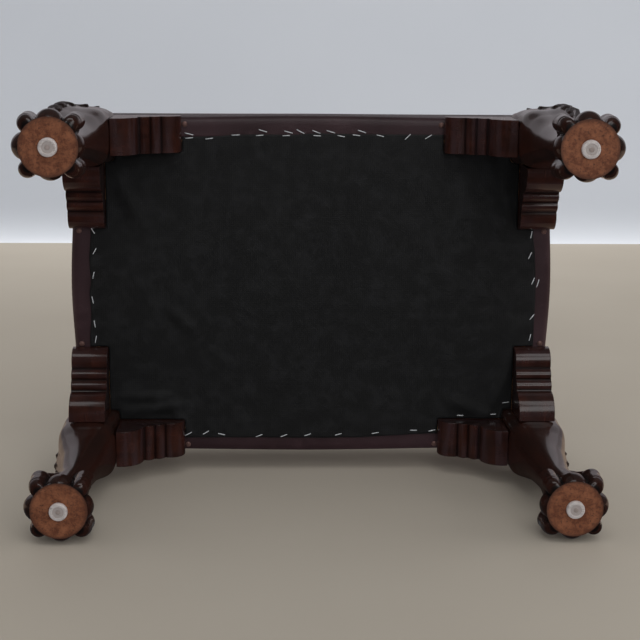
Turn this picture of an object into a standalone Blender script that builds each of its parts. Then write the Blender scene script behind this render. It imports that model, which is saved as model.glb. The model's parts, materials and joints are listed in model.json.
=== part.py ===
"""Ottoman with a leather seat on four carved mahogany cabriole legs.

The seat is a hardwood frame, webbed and padded, under a leather cover with a welted top edge.
Each leg ends in a ball-and-claw foot on a nylon glide, is bolted up into a corner block of the
frame, and carries two moulded brackets that run along the rails. A black cloth closes the seat
from below. Units are metres, +Z is up, X runs along the seat, and the origin lies on the floor
under the middle of the seat.
"""

import math
from collections import namedtuple

import bmesh
import bpy
from mathutils import Matrix, Vector

# Seat, over the leather
SEAT_LENGTH = 0.605
SEAT_WIDTH = 0.430
SEAT_CORNER_RADIUS = 0.022
UNDERSIDE_HEIGHT = 0.285
FIT = 0.0003  # gap between pieces that rest on each other

# Leather cover and padding
LEATHER = 0.0016
LEATHER_FOLD = 0.006  # outer radius where the leather turns under the rails
FLAP_WIDTH = 0.026  # leather turned under the rails, from the side of the seat
SIDE_BULGE = 0.0025
WELT_RADIUS = 0.004
SEAT_CROWN = 0.020
CROWN_FLAT_ALONG = 4.0  # exponents of the crown: higher is flatter in the middle
CROWN_FLAT_ACROSS = 2.6
CROWN_SHOULDER = 0.8
WADDING = 0.004
FOAM_EDGE_HEIGHT = 0.045
FOAM_WAIST = 0.0015  # how far the foam's sides are drawn in
HESSIAN = 0.0008

# Frame
RAIL_THICKNESS = 0.024
RAIL_HEIGHT = 0.072
RAIL_TENON_LENGTH = 0.016
RAIL_TENON_THICKNESS = 0.010
RAIL_TENON_HEIGHT = 0.048
BLOCK_REACH = 0.080  # corner block, along each rail
BLOCK_HEIGHT = 0.045
BLOCK_CLIP = 0.004  # clipped inner corner of a corner block

# Webbing
STRAP_WIDTH = 0.050
STRAP = 0.0012
STRAP_EASE = 0.0015  # level run of a strap past the edge of one that it crosses
LONG_STRAP_PITCH = 0.130
CROSS_STRAP_PITCH = 0.130

# Legs
LEG_BLOCK = 0.055  # top of the leg, from the side of the seat inwards
MORTISE_MOUTH = 0.003  # the cut for a bracket's tenon starts this far outside the leg
LEG_TOP_OUT = 0.008  # faces of the leg's top, from the sides of the seat
LEG_TOP_RIDGE = 0.005  # a ridge is how far the leg's outer corner stands out from its faces
KNEE_DROP = 0.044  # from the underside of the seat to the knee's fullest point
KNEE_OUT = 0.016  # faces of the knee, from the sides of the seat
KNEE_RIDGE = 0.008
RIDGE_HALF_WIDTH = 50.0  # degrees round the leg from the outer corner
CALF_SHARE = 0.76  # of the way from the ankle up to the brackets' lower edge
CALF_OUT = 0.011
CALF_IN = 0.005  # inner faces of the calf, back from those of the leg's top
CALF_RIDGE = 0.008
SHIN_SHARE = 0.45
SHIN_OUT = 0.004
SHIN_IN = 0.0105
SHIN_RIDGE = 0.006
ANKLE_RADIUS = 0.0200
ANKLE_SET_BACK = 0.0065

# Exponents of the leg's section: 2 is round, higher is squarer
ROUND = 2.0
SHIN_SQUARENESS = 2.3
CALF_SQUARENESS = 2.9
KNEE_BASE_SQUARENESS = 3.6
KNEE_SQUARENESS = 3.7
LEG_TOP_SQUARENESS = 9.0

# Ball-and-claw feet, with each rise above the flat cut under the ball
FOOT_INSET = 0.0125  # middle of the foot, from the side of the seat inwards
FOOT_CUT_RADIUS = 0.0324
BALL_RADIUS = 0.0405
BALL_RISE = 0.0167
TALON_HALF_WIDTH = 19.0  # degrees round the ball
TALON_TIP_RISE = 0.0047
TALON_TIP_REACH = 0.0400
LOWER_KNUCKLE_REACH = 0.0445  # at the ball's middle
KNUCKLE_DIP_REACH = 0.0430
UPPER_KNUCKLE_RISE = 0.0377
UPPER_KNUCKLE_REACH = 0.0460
SHANK_RISE = 0.0487
SHANK_RADIUS = 0.0255
SHANK_REACH = 0.0360
WRIST_RISE = 0.0617
WRIST_RADIUS = 0.0233
WRIST_SET_BACK = 0.0028
WRIST_REACH = 0.0283
ANKLE_RISE = 0.0867

# Leg fastenings
BOLT_INSET = 0.040  # bolt, from the sides of the seat inwards
BOLT_RADIUS = 0.004
BOLT_BITE = 0.040  # bolt in the leg
BOLT_END = 0.004  # bolt past its nut
NUT_FLANGE_RADIUS = 0.0088
NUT_FLANGE = 0.0016
NUT_RADIUS = 0.0072
NUT_HEIGHT = 0.0065

# Brackets beside the legs
BRACKET_LENGTH = 0.083
BRACKET_THICKNESS = 0.045
BRACKET_PROUD = 0.003
BRACKET_DEPTH = 0.064
END_LOBE_LENGTH = 0.0235
END_LOBE_DEPTH = 0.024
END_LOBE_ROUND = 0.017  # round stretch of the end lobe
END_LIP = 0.005  # upright face at the bracket's free end
BEAD_LENGTH = 0.013
BEAD_STEP = 0.006
BEAD_BULGE = 0.0028
FOOT_LOBE_FLAT = 0.0127  # level stretch beside the leg
BRACKET_TENON_LENGTH = 0.012
BRACKET_TENON_THICKNESS = 0.012
BRACKET_TENON_HEIGHT = 0.026
BRACKET_TENON_DROP = 0.030  # middle of the tenon, below the seat

# Glides under the feet
GLIDE_RADIUS = 0.0104
GLIDE_HEIGHT = 0.005
GLIDE_CHAMFER = 0.0012
NAIL_HEAD_RADIUS = 0.0028
NAIL_HEAD = 0.0008
NAIL_RADIUS = 0.0013
NAIL_BITE = 0.014

# Dust cover, and the tacks in the leather
CAMBRIC = 0.0007
CAMBRIC_INSET = 0.0185
CAMBRIC_CLIP = 0.0035  # clipped corner against the leg's rounded one
TACK_RADIUS = 0.0035
TACK_HEIGHT = 0.0020
TACK_INSET = 0.008

# Fineness of the round forms
CORNER_STEPS = 4
LONG_SIDE_STEPS = 6
SHORT_SIDE_STEPS = 4
CROWN_STEPS = 6
CROWN_SPREAD = 1.4  # exponent that gathers the crown's rings near its edge
CROWN_REACH = 0.955  # last ring's way in to the middle of the seat
BULGE_STEPS = 4
LEG_RING_STEP = 0.020
LEG_RING_OFFSETS = (0, 8, 15, 23, 45, 67, 75, 82)  # degrees in each quarter, from a talon's middle
ROUND_SIDES = 12
SMALL_SIDES = 8

# Places worked out from the sizes above
HALF_LENGTH = SEAT_LENGTH / 2
HALF_WIDTH = SEAT_WIDTH / 2
RAIL_INSET = LEATHER + FIT + WADDING + FIT
RAIL_BOTTOM = UNDERSIDE_HEIGHT + LEATHER + FIT
RAIL_TOP = RAIL_BOTTOM + RAIL_HEIGHT
INNER_INSET = RAIL_INSET + RAIL_THICKNESS
HESSIAN_BOTTOM = RAIL_TOP + FIT + 2 * (STRAP + FIT)
FOAM_BOTTOM = HESSIAN_BOTTOM + HESSIAN + FIT
WELT_HEIGHT = FOAM_BOTTOM + FOAM_EDGE_HEIGHT
WELT_INSET = 2 * WELT_RADIUS + FIT  # inner side of the welt
BOXING_TOP = WELT_HEIGHT - WELT_RADIUS - FIT
LEG_TOP = UNDERSIDE_HEIGHT - FIT
FOOT_CUT = GLIDE_HEIGHT + FIT
BRACKET_END = LEG_BLOCK + FIT + BRACKET_LENGTH

CORNERS = {"back_right": (1, 1), "back_left": (-1, 1), "front_left": (-1, -1), "front_right": (1, -1)}

Finish = namedtuple("Finish", "name colour roughness metallic")
MAHOGANY = Finish("mahogany", (0.055, 0.014, 0.008), 0.22, 0.0)
HIDE = Finish("leather", (0.050, 0.018, 0.018), 0.40, 0.0)
BEECH = Finish("beech", (0.42, 0.27, 0.15), 0.60, 0.0)
JUTE = Finish("jute", (0.34, 0.24, 0.13), 0.90, 0.0)
COTTON = Finish("cotton", (0.75, 0.72, 0.66), 0.95, 0.0)
FOAM = Finish("foam", (0.78, 0.70, 0.45), 0.95, 0.0)
BLACK_CLOTH = Finish("black_cambric", (0.010, 0.010, 0.011), 0.80, 0.0)
STEEL = Finish("steel", (0.62, 0.63, 0.65), 0.35, 1.0)
BRONZE = Finish("bronze", (0.42, 0.24, 0.16), 0.40, 1.0)
NYLON = Finish("nylon", (0.72, 0.70, 0.66), 0.45, 0.0)


def material_for(finish):
    """The Principled material of a finish, made once."""
    found = bpy.data.materials.get(finish.name)
    if found:
        return found
    made = bpy.data.materials.new(finish.name)
    made.use_nodes = True
    shader = made.node_tree.nodes["Principled BSDF"]
    shader.inputs["Base Color"].default_value = (*finish.colour, 1.0)
    shader.inputs["Roughness"].default_value = finish.roughness
    shader.inputs["Metallic"].default_value = finish.metallic
    return made


def add(name, mesh, finish, location=(0, 0, 0), turn=0.0):
    """Puts a mesh into the scene as one named piece, turned about the vertical by degrees."""
    if not mesh.materials:
        mesh.materials.append(material_for(finish))
    piece = bpy.data.objects.new(name, mesh)
    piece.location = location
    piece.rotation_euler = (0, 0, math.radians(turn))
    bpy.context.scene.collection.objects.link(piece)
    return piece


def finished(bm, sharp=35.0):
    """The mesh of a bmesh with outward faces, smooth but for edges sharper than the angle."""
    bmesh.ops.recalc_face_normals(bm, faces=bm.faces)
    mesh = bpy.data.meshes.new("solid")
    bm.to_mesh(mesh)
    bm.free()
    mesh.shade_smooth()
    mesh.set_sharp_from_angle(angle=math.radians(sharp))
    return mesh


def loft(rings, closed=False):
    """A solid through rings of equally many points: capped at both ends, or closed into a ring.

    Each four-sided face is split along its higher diagonal, so that layers one over another
    are split alike.
    """
    bm = bmesh.new()
    loops = [[bm.verts.new(point) for point in ring] for ring in rings]
    pairs = list(zip(loops, loops[1:]))
    if closed:
        pairs.append((loops[-1], loops[0]))
    for low, high in pairs:
        for i in range(len(low)):
            j = (i + 1) % len(low)
            a, b, c, d = low[i], low[j], high[j], high[i]
            if a.co.z + c.co.z < b.co.z + d.co.z:
                a, b, c, d = b, c, d, a
            bm.faces.new((a, b, c))
            bm.faces.new((a, c, d))
    if not closed:
        bm.faces.new(loops[0])
        bm.faces.new(loops[-1])
    return finished(bm)


def circle(radius, height, sides):
    """Points of a level circle about the vertical axis."""
    angles = [2 * math.pi * k / sides for k in range(sides)]
    return [(radius * math.cos(a), radius * math.sin(a), height) for a in angles]


def turned(profile, sides, closed=False):
    """A solid turned about the vertical axis from (radius, height) points."""
    return loft([circle(radius, height, sides) for radius, height in profile], closed)


def prism(outline, low, high):
    """A flat outline raised from one height to another."""
    return loft([[(x, y, z) for x, y in outline] for z in (low, high)])


def rod(radius, start, end, sides=ROUND_SIDES):
    """A round rod between two points."""
    axis = Vector(end) - Vector(start)
    mesh = turned([(radius, 0), (radius, axis.length)], sides)
    mesh.transform(Matrix.Translation(start) @ axis.to_track_quat("Z", "Y").to_matrix().to_4x4())
    return mesh


def box(low, high):
    """A rectangular solid between two opposite corners."""
    outline = [(low[0], low[1]), (high[0], low[1]), (high[0], high[1]), (low[0], high[1])]
    return prism(outline, low[2], high[2])


def together(meshes):
    """Several separate solids in one mesh."""
    bm = bmesh.new()
    for mesh in meshes:
        bm.from_mesh(mesh)
        bpy.data.meshes.remove(mesh)
    return finished(bm)


def combined(mesh, others, operation):
    """A solid with other solids cut out of it or joined to it."""
    target = bpy.data.objects.new("target", mesh)
    cutter = bpy.data.objects.new("cutter", together(others))
    for helper in (target, cutter):
        bpy.context.scene.collection.objects.link(helper)
    change = target.modifiers.new("change", "BOOLEAN")
    change.operation = operation
    change.object = cutter
    graph = bpy.context.evaluated_depsgraph_get()
    made = bpy.data.meshes.new_from_object(target.evaluated_get(graph))
    for helper in (target, cutter):
        bpy.data.objects.remove(helper)
    return made


def quarter_turns():
    """Each corner's name and signs, with the turn that takes the back right corner there."""
    for quarter, (corner, signs) in enumerate(CORNERS.items()):
        yield corner, signs, 90.0 * quarter


def smooth_through(stations, at):
    """A monotone cubic through (place, value) stations, read at one place."""
    places = [place for place, _ in stations]
    values = [value for _, value in stations]
    slopes = [(v2 - v1) / (p2 - p1) for p1, p2, v1, v2 in zip(places, places[1:], values, values[1:])]
    tangents = [0.0] * len(stations)
    for k in range(1, len(stations) - 1):
        before, after = slopes[k - 1], slopes[k]
        if before * after > 0:
            tangents[k] = 2 * before * after / (before + after)
    k = 0
    while k < len(slopes) - 1 and at > places[k + 1]:
        k += 1
    span = places[k + 1] - places[k]
    t = (at - places[k]) / span
    start = (1 + 2 * t) * (1 - t) ** 2 * values[k] + t * (1 - t) ** 2 * span * tangents[k]
    end = t * t * (3 - 2 * t) * values[k + 1] + t * t * (t - 1) * span * tangents[k + 1]
    return start + end


def seat_ring(inset, height):
    """The seat's outline in plan, drawn in by the inset: a rectangle with round corners."""
    half_x, half_y = HALF_LENGTH - inset, HALF_WIDTH - inset
    radius = max(SEAT_CORNER_RADIUS - inset, FIT)
    points = []
    for corner, (sx, sy) in enumerate(CORNERS.values()):
        for step in range(CORNER_STEPS + 1):
            angle = math.radians(90 * (corner + step / CORNER_STEPS))
            x = sx * (half_x - radius) + radius * math.cos(angle)
            y = sy * (half_y - radius) + radius * math.sin(angle)
            points.append(Vector((x, y, height)))
        # A long side follows the back right and front left corners, a short one the other two.
        steps, travel = LONG_SIDE_STEPS, Vector((-2 * sx * (half_x - radius), 0, 0))
        if sx != sy:
            steps, travel = SHORT_SIDE_STEPS, Vector((0, -2 * sy * (half_y - radius), 0))
        side = points[-1]
        points += [side + travel * step / steps for step in range(1, steps)]
    return points


def crown_rings(inset, edge_height):
    """Rings that rise from an edge at the inset to the seat's crown."""
    rings = []
    half_x, half_y = HALF_LENGTH - inset, HALF_WIDTH - inset
    for step in range(CROWN_STEPS + 1):
        share = CROWN_REACH * (step / CROWN_STEPS) ** CROWN_SPREAD
        ring = seat_ring(inset + half_y * share, edge_height)
        for point in ring:
            along = max(1 - (abs(point.x) / half_x) ** CROWN_FLAT_ALONG, 0.0)
            across = max(1 - (abs(point.y) / half_y) ** CROWN_FLAT_ACROSS, 0.0)
            point.z += SEAT_CROWN * (along * across) ** CROWN_SHOULDER
        rings.append(ring)
    return rings


def side_profile(inset, low, high):
    """(inset, height) points up the seat's side, with its bulge."""
    points = []
    for step in range(BULGE_STEPS + 1):
        share = step / BULGE_STEPS
        points.append((inset - SIDE_BULGE * math.sin(math.pi * share), low + (high - low) * share))
    return points


def leather_boxing():
    """The side band: up the seat's sides to the welt, and turned under the rails."""
    fold_top = UNDERSIDE_HEIGHT + LEATHER_FOLD
    inner_fold = LEATHER_FOLD - LEATHER
    slack = 1 - math.sqrt(0.5)
    under, over = UNDERSIDE_HEIGHT, UNDERSIDE_HEIGHT + LEATHER
    profile = [(FLAP_WIDTH, under), (LEATHER_FOLD, under)]
    profile.append((LEATHER_FOLD * slack, under + LEATHER_FOLD * slack))
    profile += side_profile(0, fold_top, BOXING_TOP)
    profile += reversed(side_profile(LEATHER, fold_top, BOXING_TOP))
    profile.append((LEATHER + inner_fold * slack, over + inner_fold * slack))
    profile += [(LEATHER_FOLD, over), (FLAP_WIDTH, over)]
    return loft([seat_ring(inset, height) for inset, height in profile], closed=True)


def leather_top():
    """The crowned top panel, inside the welt."""
    upper = crown_rings(WELT_INSET, WELT_HEIGHT + LEATHER / 2)
    lower = crown_rings(WELT_INSET, WELT_HEIGHT - LEATHER / 2)
    return loft([*reversed(upper), *lower])


def welt():
    """The corded welt round the top edge."""
    rings = []
    for point in range(SMALL_SIDES):
        angle = 2 * math.pi * point / SMALL_SIDES
        inset = WELT_RADIUS * (1 + math.cos(angle))
        rings.append(seat_ring(inset, WELT_HEIGHT + WELT_RADIUS * math.sin(angle)))
    return loft(rings, closed=True)


def wadding():
    """Cotton over the foam and down the outside of the rails."""
    outer = LEATHER + FIT
    inner = outer + WADDING
    low = UNDERSIDE_HEIGHT + LEATHER_FOLD + FIT
    shoulder = BOXING_TOP - FIT
    under_leather = WELT_HEIGHT - LEATHER / 2 - FIT
    step = WELT_INSET + FIT  # the wadding steps in under the welt
    outside = [seat_ring(inset, height) for inset, height in side_profile(outer, low, shoulder)]
    outside += [seat_ring(step, shoulder), *crown_rings(step, under_leather)]
    inside = [seat_ring(inner, low), seat_ring(inner, shoulder - WADDING)]
    inside.append(seat_ring(step + WADDING, shoulder - WADDING))
    inside += crown_rings(step + WADDING, under_leather - WADDING)
    return loft([*reversed(outside), *inside])


def seat_foam():
    """The foam block, crowned, with its sides drawn in."""
    shoulder = BOXING_TOP - FIT - WADDING - FIT
    waist = (FOAM_BOTTOM + shoulder) / 2
    top_edge = WELT_HEIGHT - LEATHER / 2 - FIT - WADDING - FIT
    rings = [seat_ring(RAIL_INSET, FOAM_BOTTOM), seat_ring(RAIL_INSET + FOAM_WAIST, waist)]
    step = WELT_INSET + WADDING + 2 * FIT
    rings += [seat_ring(RAIL_INSET, shoulder), seat_ring(step, shoulder), *crown_rings(step, top_edge)]
    return loft(rings)


def build_cover():
    """The leather, its welt and the padding under it."""
    add("leather_boxing", leather_boxing(), HIDE)
    add("leather_top", leather_top(), HIDE)
    add("top_welt", welt(), HIDE)
    add("cotton_wadding", wadding(), COTTON)
    add("seat_foam", seat_foam(), FOAM)
    outline = [(p.x, p.y) for p in seat_ring(RAIL_INSET, 0)]
    add("hessian", prism(outline, HESSIAN_BOTTOM, HESSIAN_BOTTOM + HESSIAN), JUTE)


def long_rail():
    """The back rail, with its outer corners rounded and a mortise near each end."""
    half_x, inner = HALF_LENGTH - RAIL_INSET, HALF_WIDTH - INNER_INSET
    rounded = [(p.x, p.y) for p in seat_ring(RAIL_INSET, 0) if p.y > inner]
    outline = [(half_x, inner), *rounded, (-half_x, inner)]
    middle, height = half_x - RAIL_THICKNESS / 2, RAIL_BOTTOM + RAIL_HEIGHT / 2
    wide, tall = RAIL_TENON_THICKNESS / 2 + FIT, RAIL_TENON_HEIGHT / 2 + FIT
    mortises = []
    for x in (-middle, middle):
        low = (x - wide, inner - FIT, height - tall)
        mortises.append(box(low, (x + wide, inner + RAIL_TENON_LENGTH, height + tall)))
    return combined(prism(outline, RAIL_BOTTOM, RAIL_TOP), mortises, "DIFFERENCE")


def short_rail():
    """The right rail, butted between the long rails, with a tenon on each end."""
    middle, height = HALF_LENGTH - RAIL_INSET - RAIL_THICKNESS / 2, RAIL_BOTTOM + RAIL_HEIGHT / 2
    shoulder = HALF_WIDTH - INNER_INSET - FIT
    end = shoulder + RAIL_TENON_LENGTH
    full = (RAIL_THICKNESS / 2, RAIL_HEIGHT / 2)
    tenon = (RAIL_TENON_THICKNESS / 2, RAIL_TENON_HEIGHT / 2)
    rings = []
    for y, (wide, tall) in ((-end, tenon), (-shoulder, tenon), (-shoulder, full),
                            (shoulder, full), (shoulder, tenon), (end, tenon)):
        corners = ((-wide, -tall), (wide, -tall), (wide, tall), (-wide, tall))
        rings.append([(middle + across, y, height + up) for across, up in corners])
    return loft(rings)


def corner_block():
    """A glued block of the back right corner, from the frame's inner corner at the origin."""
    near, far, clip = -FIT, -BLOCK_REACH, -FIT - BLOCK_CLIP
    outline = [(clip, near), (far, near), (far, clip), (clip, far), (near, far), (near, clip)]
    block = prism(outline, RAIL_BOTTOM, RAIL_BOTTOM + BLOCK_HEIGHT)
    bolt = INNER_INSET - BOLT_INSET
    low, high = RAIL_BOTTOM - FIT, RAIL_BOTTOM + BLOCK_HEIGHT + FIT
    return combined(block, [rod(BOLT_RADIUS + FIT, (bolt, bolt, low), (bolt, bolt, high))], "DIFFERENCE")


def build_frame():
    """The four rails and the corner blocks."""
    long_mesh, short_mesh, block = long_rail(), short_rail(), corner_block()
    add("back_rail", long_mesh, BEECH)
    add("front_rail", long_mesh, BEECH, turn=180)
    add("right_rail", short_mesh, BEECH)
    add("left_rail", short_mesh, BEECH, turn=180)
    inner_x, inner_y = HALF_LENGTH - INNER_INSET, HALF_WIDTH - INNER_INSET
    for corner, (sx, sy), turn in quarter_turns():
        add(f"corner_block_{corner}", block, BEECH, (sx * inner_x, sy * inner_y, 0), turn)


def strap(half_length, crossings, over_first):
    """A webbing strap along X that rises over every other strap that it crosses."""
    low, high = RAIL_TOP + FIT, RAIL_TOP + 2 * FIT + STRAP
    half, clear = STRAP_WIDTH / 2, STRAP_WIDTH / 2 + STRAP_EASE
    line = [(-half_length, low)]
    for k, middle in enumerate(crossings):
        level = high if (k % 2 == 0) == over_first else low
        line += [(middle - clear, level), (middle + clear, level)]
    line.append((half_length, low))
    rings = []
    for x, z in line:
        rings.append([(x, -half, z), (x, half, z), (x, half, z + STRAP), (x, -half, z + STRAP)])
    return loft(rings)


def build_webbing():
    """Straps woven across the frame: two along it and three across."""
    end_gap = RAIL_THICKNESS / 4
    half_x, half_y = HALF_LENGTH - RAIL_INSET - end_gap, HALF_WIDTH - RAIL_INSET - end_gap
    rows = {"front": -LONG_STRAP_PITCH / 2, "back": LONG_STRAP_PITCH / 2}
    columns = {"left": -CROSS_STRAP_PITCH, "middle": 0.0, "right": CROSS_STRAP_PITCH}
    for k, (place, y) in enumerate(rows.items()):
        mesh = strap(half_x, columns.values(), k % 2 == 0)
        add(f"long_strap_{place}", mesh, JUTE, (0, y, 0))
    for k, (place, x) in enumerate(columns.items()):
        mesh = strap(half_y, rows.values(), k % 2 == 1)
        add(f"cross_strap_{place}", mesh, JUTE, (x, 0, 0), 90)


LegStation = namedtuple("LegStation", "height outer inner talon ridge squareness")


def ball_radius(rise):
    """Radius of the ball at a rise above its cut: an ellipse through the cut and the ball's middle."""
    share = (rise - BALL_RISE) / BALL_RISE
    return math.sqrt(BALL_RADIUS ** 2 - (BALL_RADIUS ** 2 - FOOT_CUT_RADIUS ** 2) * share * share)


def foot_station(rise, radius, reach, set_back=0.0):
    """A level of the foot: its radius, and how far from the middle its talons reach."""
    height = FOOT_CUT + rise
    return LegStation(height, radius - set_back, -radius - set_back, reach - radius, 0.0, ROUND)


def leg_stations():
    """The leg from its foot up: reach out and in from the foot's middle, then what shapes its section."""
    out = FOOT_INSET  # the seat's side, from the middle of the foot
    block = FOOT_INSET - LEG_BLOCK
    knee_base = LEG_TOP - BRACKET_DEPTH
    climb = knee_base - FOOT_CUT - ANKLE_RISE
    shin, calf = knee_base - climb * (1 - SHIN_SHARE), knee_base - climb * (1 - CALF_SHARE)
    dip = (BALL_RISE + UPPER_KNUCKLE_RISE) / 2
    return [
        foot_station(0.0, FOOT_CUT_RADIUS, FOOT_CUT_RADIUS + FIT),
        foot_station(TALON_TIP_RISE, ball_radius(TALON_TIP_RISE), TALON_TIP_REACH),
        foot_station(BALL_RISE, BALL_RADIUS, LOWER_KNUCKLE_REACH),
        foot_station(dip, ball_radius(dip), KNUCKLE_DIP_REACH),
        foot_station(UPPER_KNUCKLE_RISE, ball_radius(UPPER_KNUCKLE_RISE), UPPER_KNUCKLE_REACH),
        foot_station(SHANK_RISE, SHANK_RADIUS, SHANK_REACH),
        foot_station(WRIST_RISE, WRIST_RADIUS, WRIST_REACH, WRIST_SET_BACK),
        foot_station(ANKLE_RISE, ANKLE_RADIUS, ANKLE_RADIUS, ANKLE_SET_BACK),
        LegStation(shin, out + SHIN_OUT, block + SHIN_IN, 0.0, SHIN_RIDGE, SHIN_SQUARENESS),
        LegStation(calf, out + CALF_OUT, block + CALF_IN, 0.0, CALF_RIDGE, CALF_SQUARENESS),
        LegStation(knee_base, out + KNEE_OUT, block, 0.0, KNEE_RIDGE, KNEE_BASE_SQUARENESS),
        LegStation(LEG_TOP - KNEE_DROP, out + KNEE_OUT, block, 0.0, KNEE_RIDGE, KNEE_SQUARENESS),
        LegStation(LEG_TOP, out + LEG_TOP_OUT, block, 0.0, LEG_TOP_RIDGE, LEG_TOP_SQUARENESS),
    ]


def leg_heights(stations):
    """Heights of the rings: each station, and places between where the leg bends."""
    heights = []
    for low, high in zip(stations, stations[1:]):
        climb = high.height - low.height
        between = max(2, round(climb / LEG_RING_STEP))
        heights += [low.height + climb * k / between for k in range(between)]
    return [*heights, stations[-1].height]


def talon_weight(offset):
    """Height of a talon's ridge, from 1 at its middle to 0 at its side, by degrees from the middle."""
    flat = TALON_HALF_WIDTH / 4
    share = min(max((abs(offset) - flat) / (TALON_HALF_WIDTH - flat), 0.0), 1.0)
    return 1 - share * share * (3 - 2 * share)


def leg_ring(stations, height):
    """One ring of the back right leg, about the middle of its foot."""
    outer, inner, talon, ridge, squareness = (
        smooth_through([(s.height, s[column]) for s in stations], height) for column in range(1, 6)
    )
    middle, half = (outer + inner) / 2, (outer - inner) / 2
    points = []
    for quarter in range(4):
        for offset in LEG_RING_OFFSETS:
            angle = math.radians(45 + 90 * quarter + offset)
            corner = abs(math.cos(angle)) ** squareness + abs(math.sin(angle)) ** squareness
            radius = (half + talon * talon_weight(min(offset, 90 - offset))) * corner ** (-1 / squareness)
            from_corner = min(90 * quarter + offset, 360 - 90 * quarter - offset)
            if from_corner < RIDGE_HALF_WIDTH:
                radius += ridge * math.cos(math.radians(90 * from_corner / RIDGE_HALF_WIDTH)) ** 2
            points.append((middle + radius * math.cos(angle), middle + radius * math.sin(angle), height))
    return points


def bracket_tenon(near, gap):
    """The tenon that runs along +X from a bracket into the leg, about the bracket's middle."""
    wide, tall = BRACKET_TENON_THICKNESS / 2 + gap, BRACKET_TENON_HEIGHT / 2 + gap
    low = (-near, -wide, -BRACKET_TENON_DROP - tall)
    return box(low, (BRACKET_TENON_LENGTH + gap, wide, -BRACKET_TENON_DROP + tall))


def leg():
    """The back right leg about the middle of its foot, cut for its bolt, tenons and glide nail."""
    stations = leg_stations()
    body = loft([leg_ring(stations, height) for height in leg_heights(stations)])
    bolt = FOOT_INSET - BOLT_INSET
    cuts = [rod(BOLT_RADIUS + FIT, (bolt, bolt, LEG_TOP - BOLT_BITE - FIT), (bolt, bolt, LEG_TOP + FIT))]
    nail_top = GLIDE_HEIGHT + NAIL_BITE + FIT
    cuts.append(rod(NAIL_RADIUS + FIT, (0, 0, 0), (0, 0, nail_top), SMALL_SIDES))
    across = FOOT_INSET - BRACKET_THICKNESS / 2 + BRACKET_PROUD
    for turn, x, y in ((0, FOOT_INSET - LEG_BLOCK, across), (90, across, FOOT_INSET - LEG_BLOCK)):
        mortise = bracket_tenon(MORTISE_MOUTH, FIT)
        mortise.transform(Matrix.Translation((x, y, LEG_TOP)) @ Matrix.Rotation(math.radians(turn), 4, "Z"))
        cuts.append(mortise)
    return combined(body, cuts, "DIFFERENCE")


def flange_nut():
    """The nut on a leg's bolt, with its flange against the corner block."""
    low = RAIL_BOTTOM + BLOCK_HEIGHT + FIT
    seat, top = low + NUT_FLANGE, low + NUT_FLANGE + NUT_HEIGHT
    bore = BOLT_RADIUS + FIT
    profile = [(NUT_FLANGE_RADIUS, low), (NUT_FLANGE_RADIUS, seat), (NUT_RADIUS, seat), (NUT_RADIUS, top)]
    body = turned(profile, 6)
    return combined(body, [rod(bore, (0, 0, low - FIT), (0, 0, top + FIT))], "DIFFERENCE")


def build_legs():
    """The four legs, the bolts and nuts that hold them, and the glides under their feet."""
    foot_x, foot_y = HALF_LENGTH - FOOT_INSET, HALF_WIDTH - FOOT_INSET
    bolt_x, bolt_y = HALF_LENGTH - BOLT_INSET, HALF_WIDTH - BOLT_INSET
    bolt_top = RAIL_BOTTOM + BLOCK_HEIGHT + FIT + NUT_FLANGE + NUT_HEIGHT + BOLT_END
    bolt = rod(BOLT_RADIUS, (0, 0, LEG_TOP - BOLT_BITE), (0, 0, bolt_top))
    leg_mesh, glide_mesh, nail, nut = leg(), glide(), glide_nail(), flange_nut()
    for corner, (sx, sy), turn in quarter_turns():
        foot, head = (sx * foot_x, sy * foot_y, 0), (sx * bolt_x, sy * bolt_y, 0)
        add(f"leg_{corner}", leg_mesh, MAHOGANY, foot, turn)
        add(f"glide_{corner}", glide_mesh, NYLON, foot)
        add(f"glide_nail_{corner}", nail, STEEL, foot)
        add(f"leg_bolt_{corner}", bolt, STEEL, head)
        add(f"leg_nut_{corner}", nut, STEEL, head)


def glide():
    """A nylon glide: a chamfered disc with a recess for the head of its nail."""
    bore, recess = NAIL_RADIUS + FIT, NAIL_HEAD_RADIUS + FIT
    depth = NAIL_HEAD + 2 * FIT
    profile = [(bore, GLIDE_HEIGHT), (GLIDE_RADIUS, GLIDE_HEIGHT), (GLIDE_RADIUS, GLIDE_CHAMFER)]
    profile += [(GLIDE_RADIUS - GLIDE_CHAMFER, 0), (recess, 0), (recess, depth), (bore, depth)]
    return turned(profile, ROUND_SIDES, closed=True)


def glide_nail():
    """The nail through a glide, from its head up into the foot."""
    head = FIT + NAIL_HEAD
    profile = [(NAIL_HEAD_RADIUS, FIT), (NAIL_HEAD_RADIUS, head), (NAIL_RADIUS, head)]
    return turned([*profile, (NAIL_RADIUS, GLIDE_HEIGHT + NAIL_BITE)], SMALL_SIDES)


def lobe(start, end, steps):
    """A quarter round of the bracket's profile between two (distance, depth) points."""
    points = []
    for step in range(steps + 1):
        angle = math.radians(90 * step / steps)
        points.append((start[0] + (end[0] - start[0]) * (1 - math.cos(angle)),
                       start[1] + (end[1] - start[1]) * math.sin(angle)))
    return points


def bead(start, end, bulge, steps):
    """A shallow round of the bracket's profile between two (distance, depth) points."""
    points = []
    for step in range(steps + 1):
        share = step / steps
        depth = start[1] + (end[1] - start[1]) * share + bulge * math.sin(math.pi * share)
        points.append((start[0] + (end[0] - start[0]) * share, depth))
    return points


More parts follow.
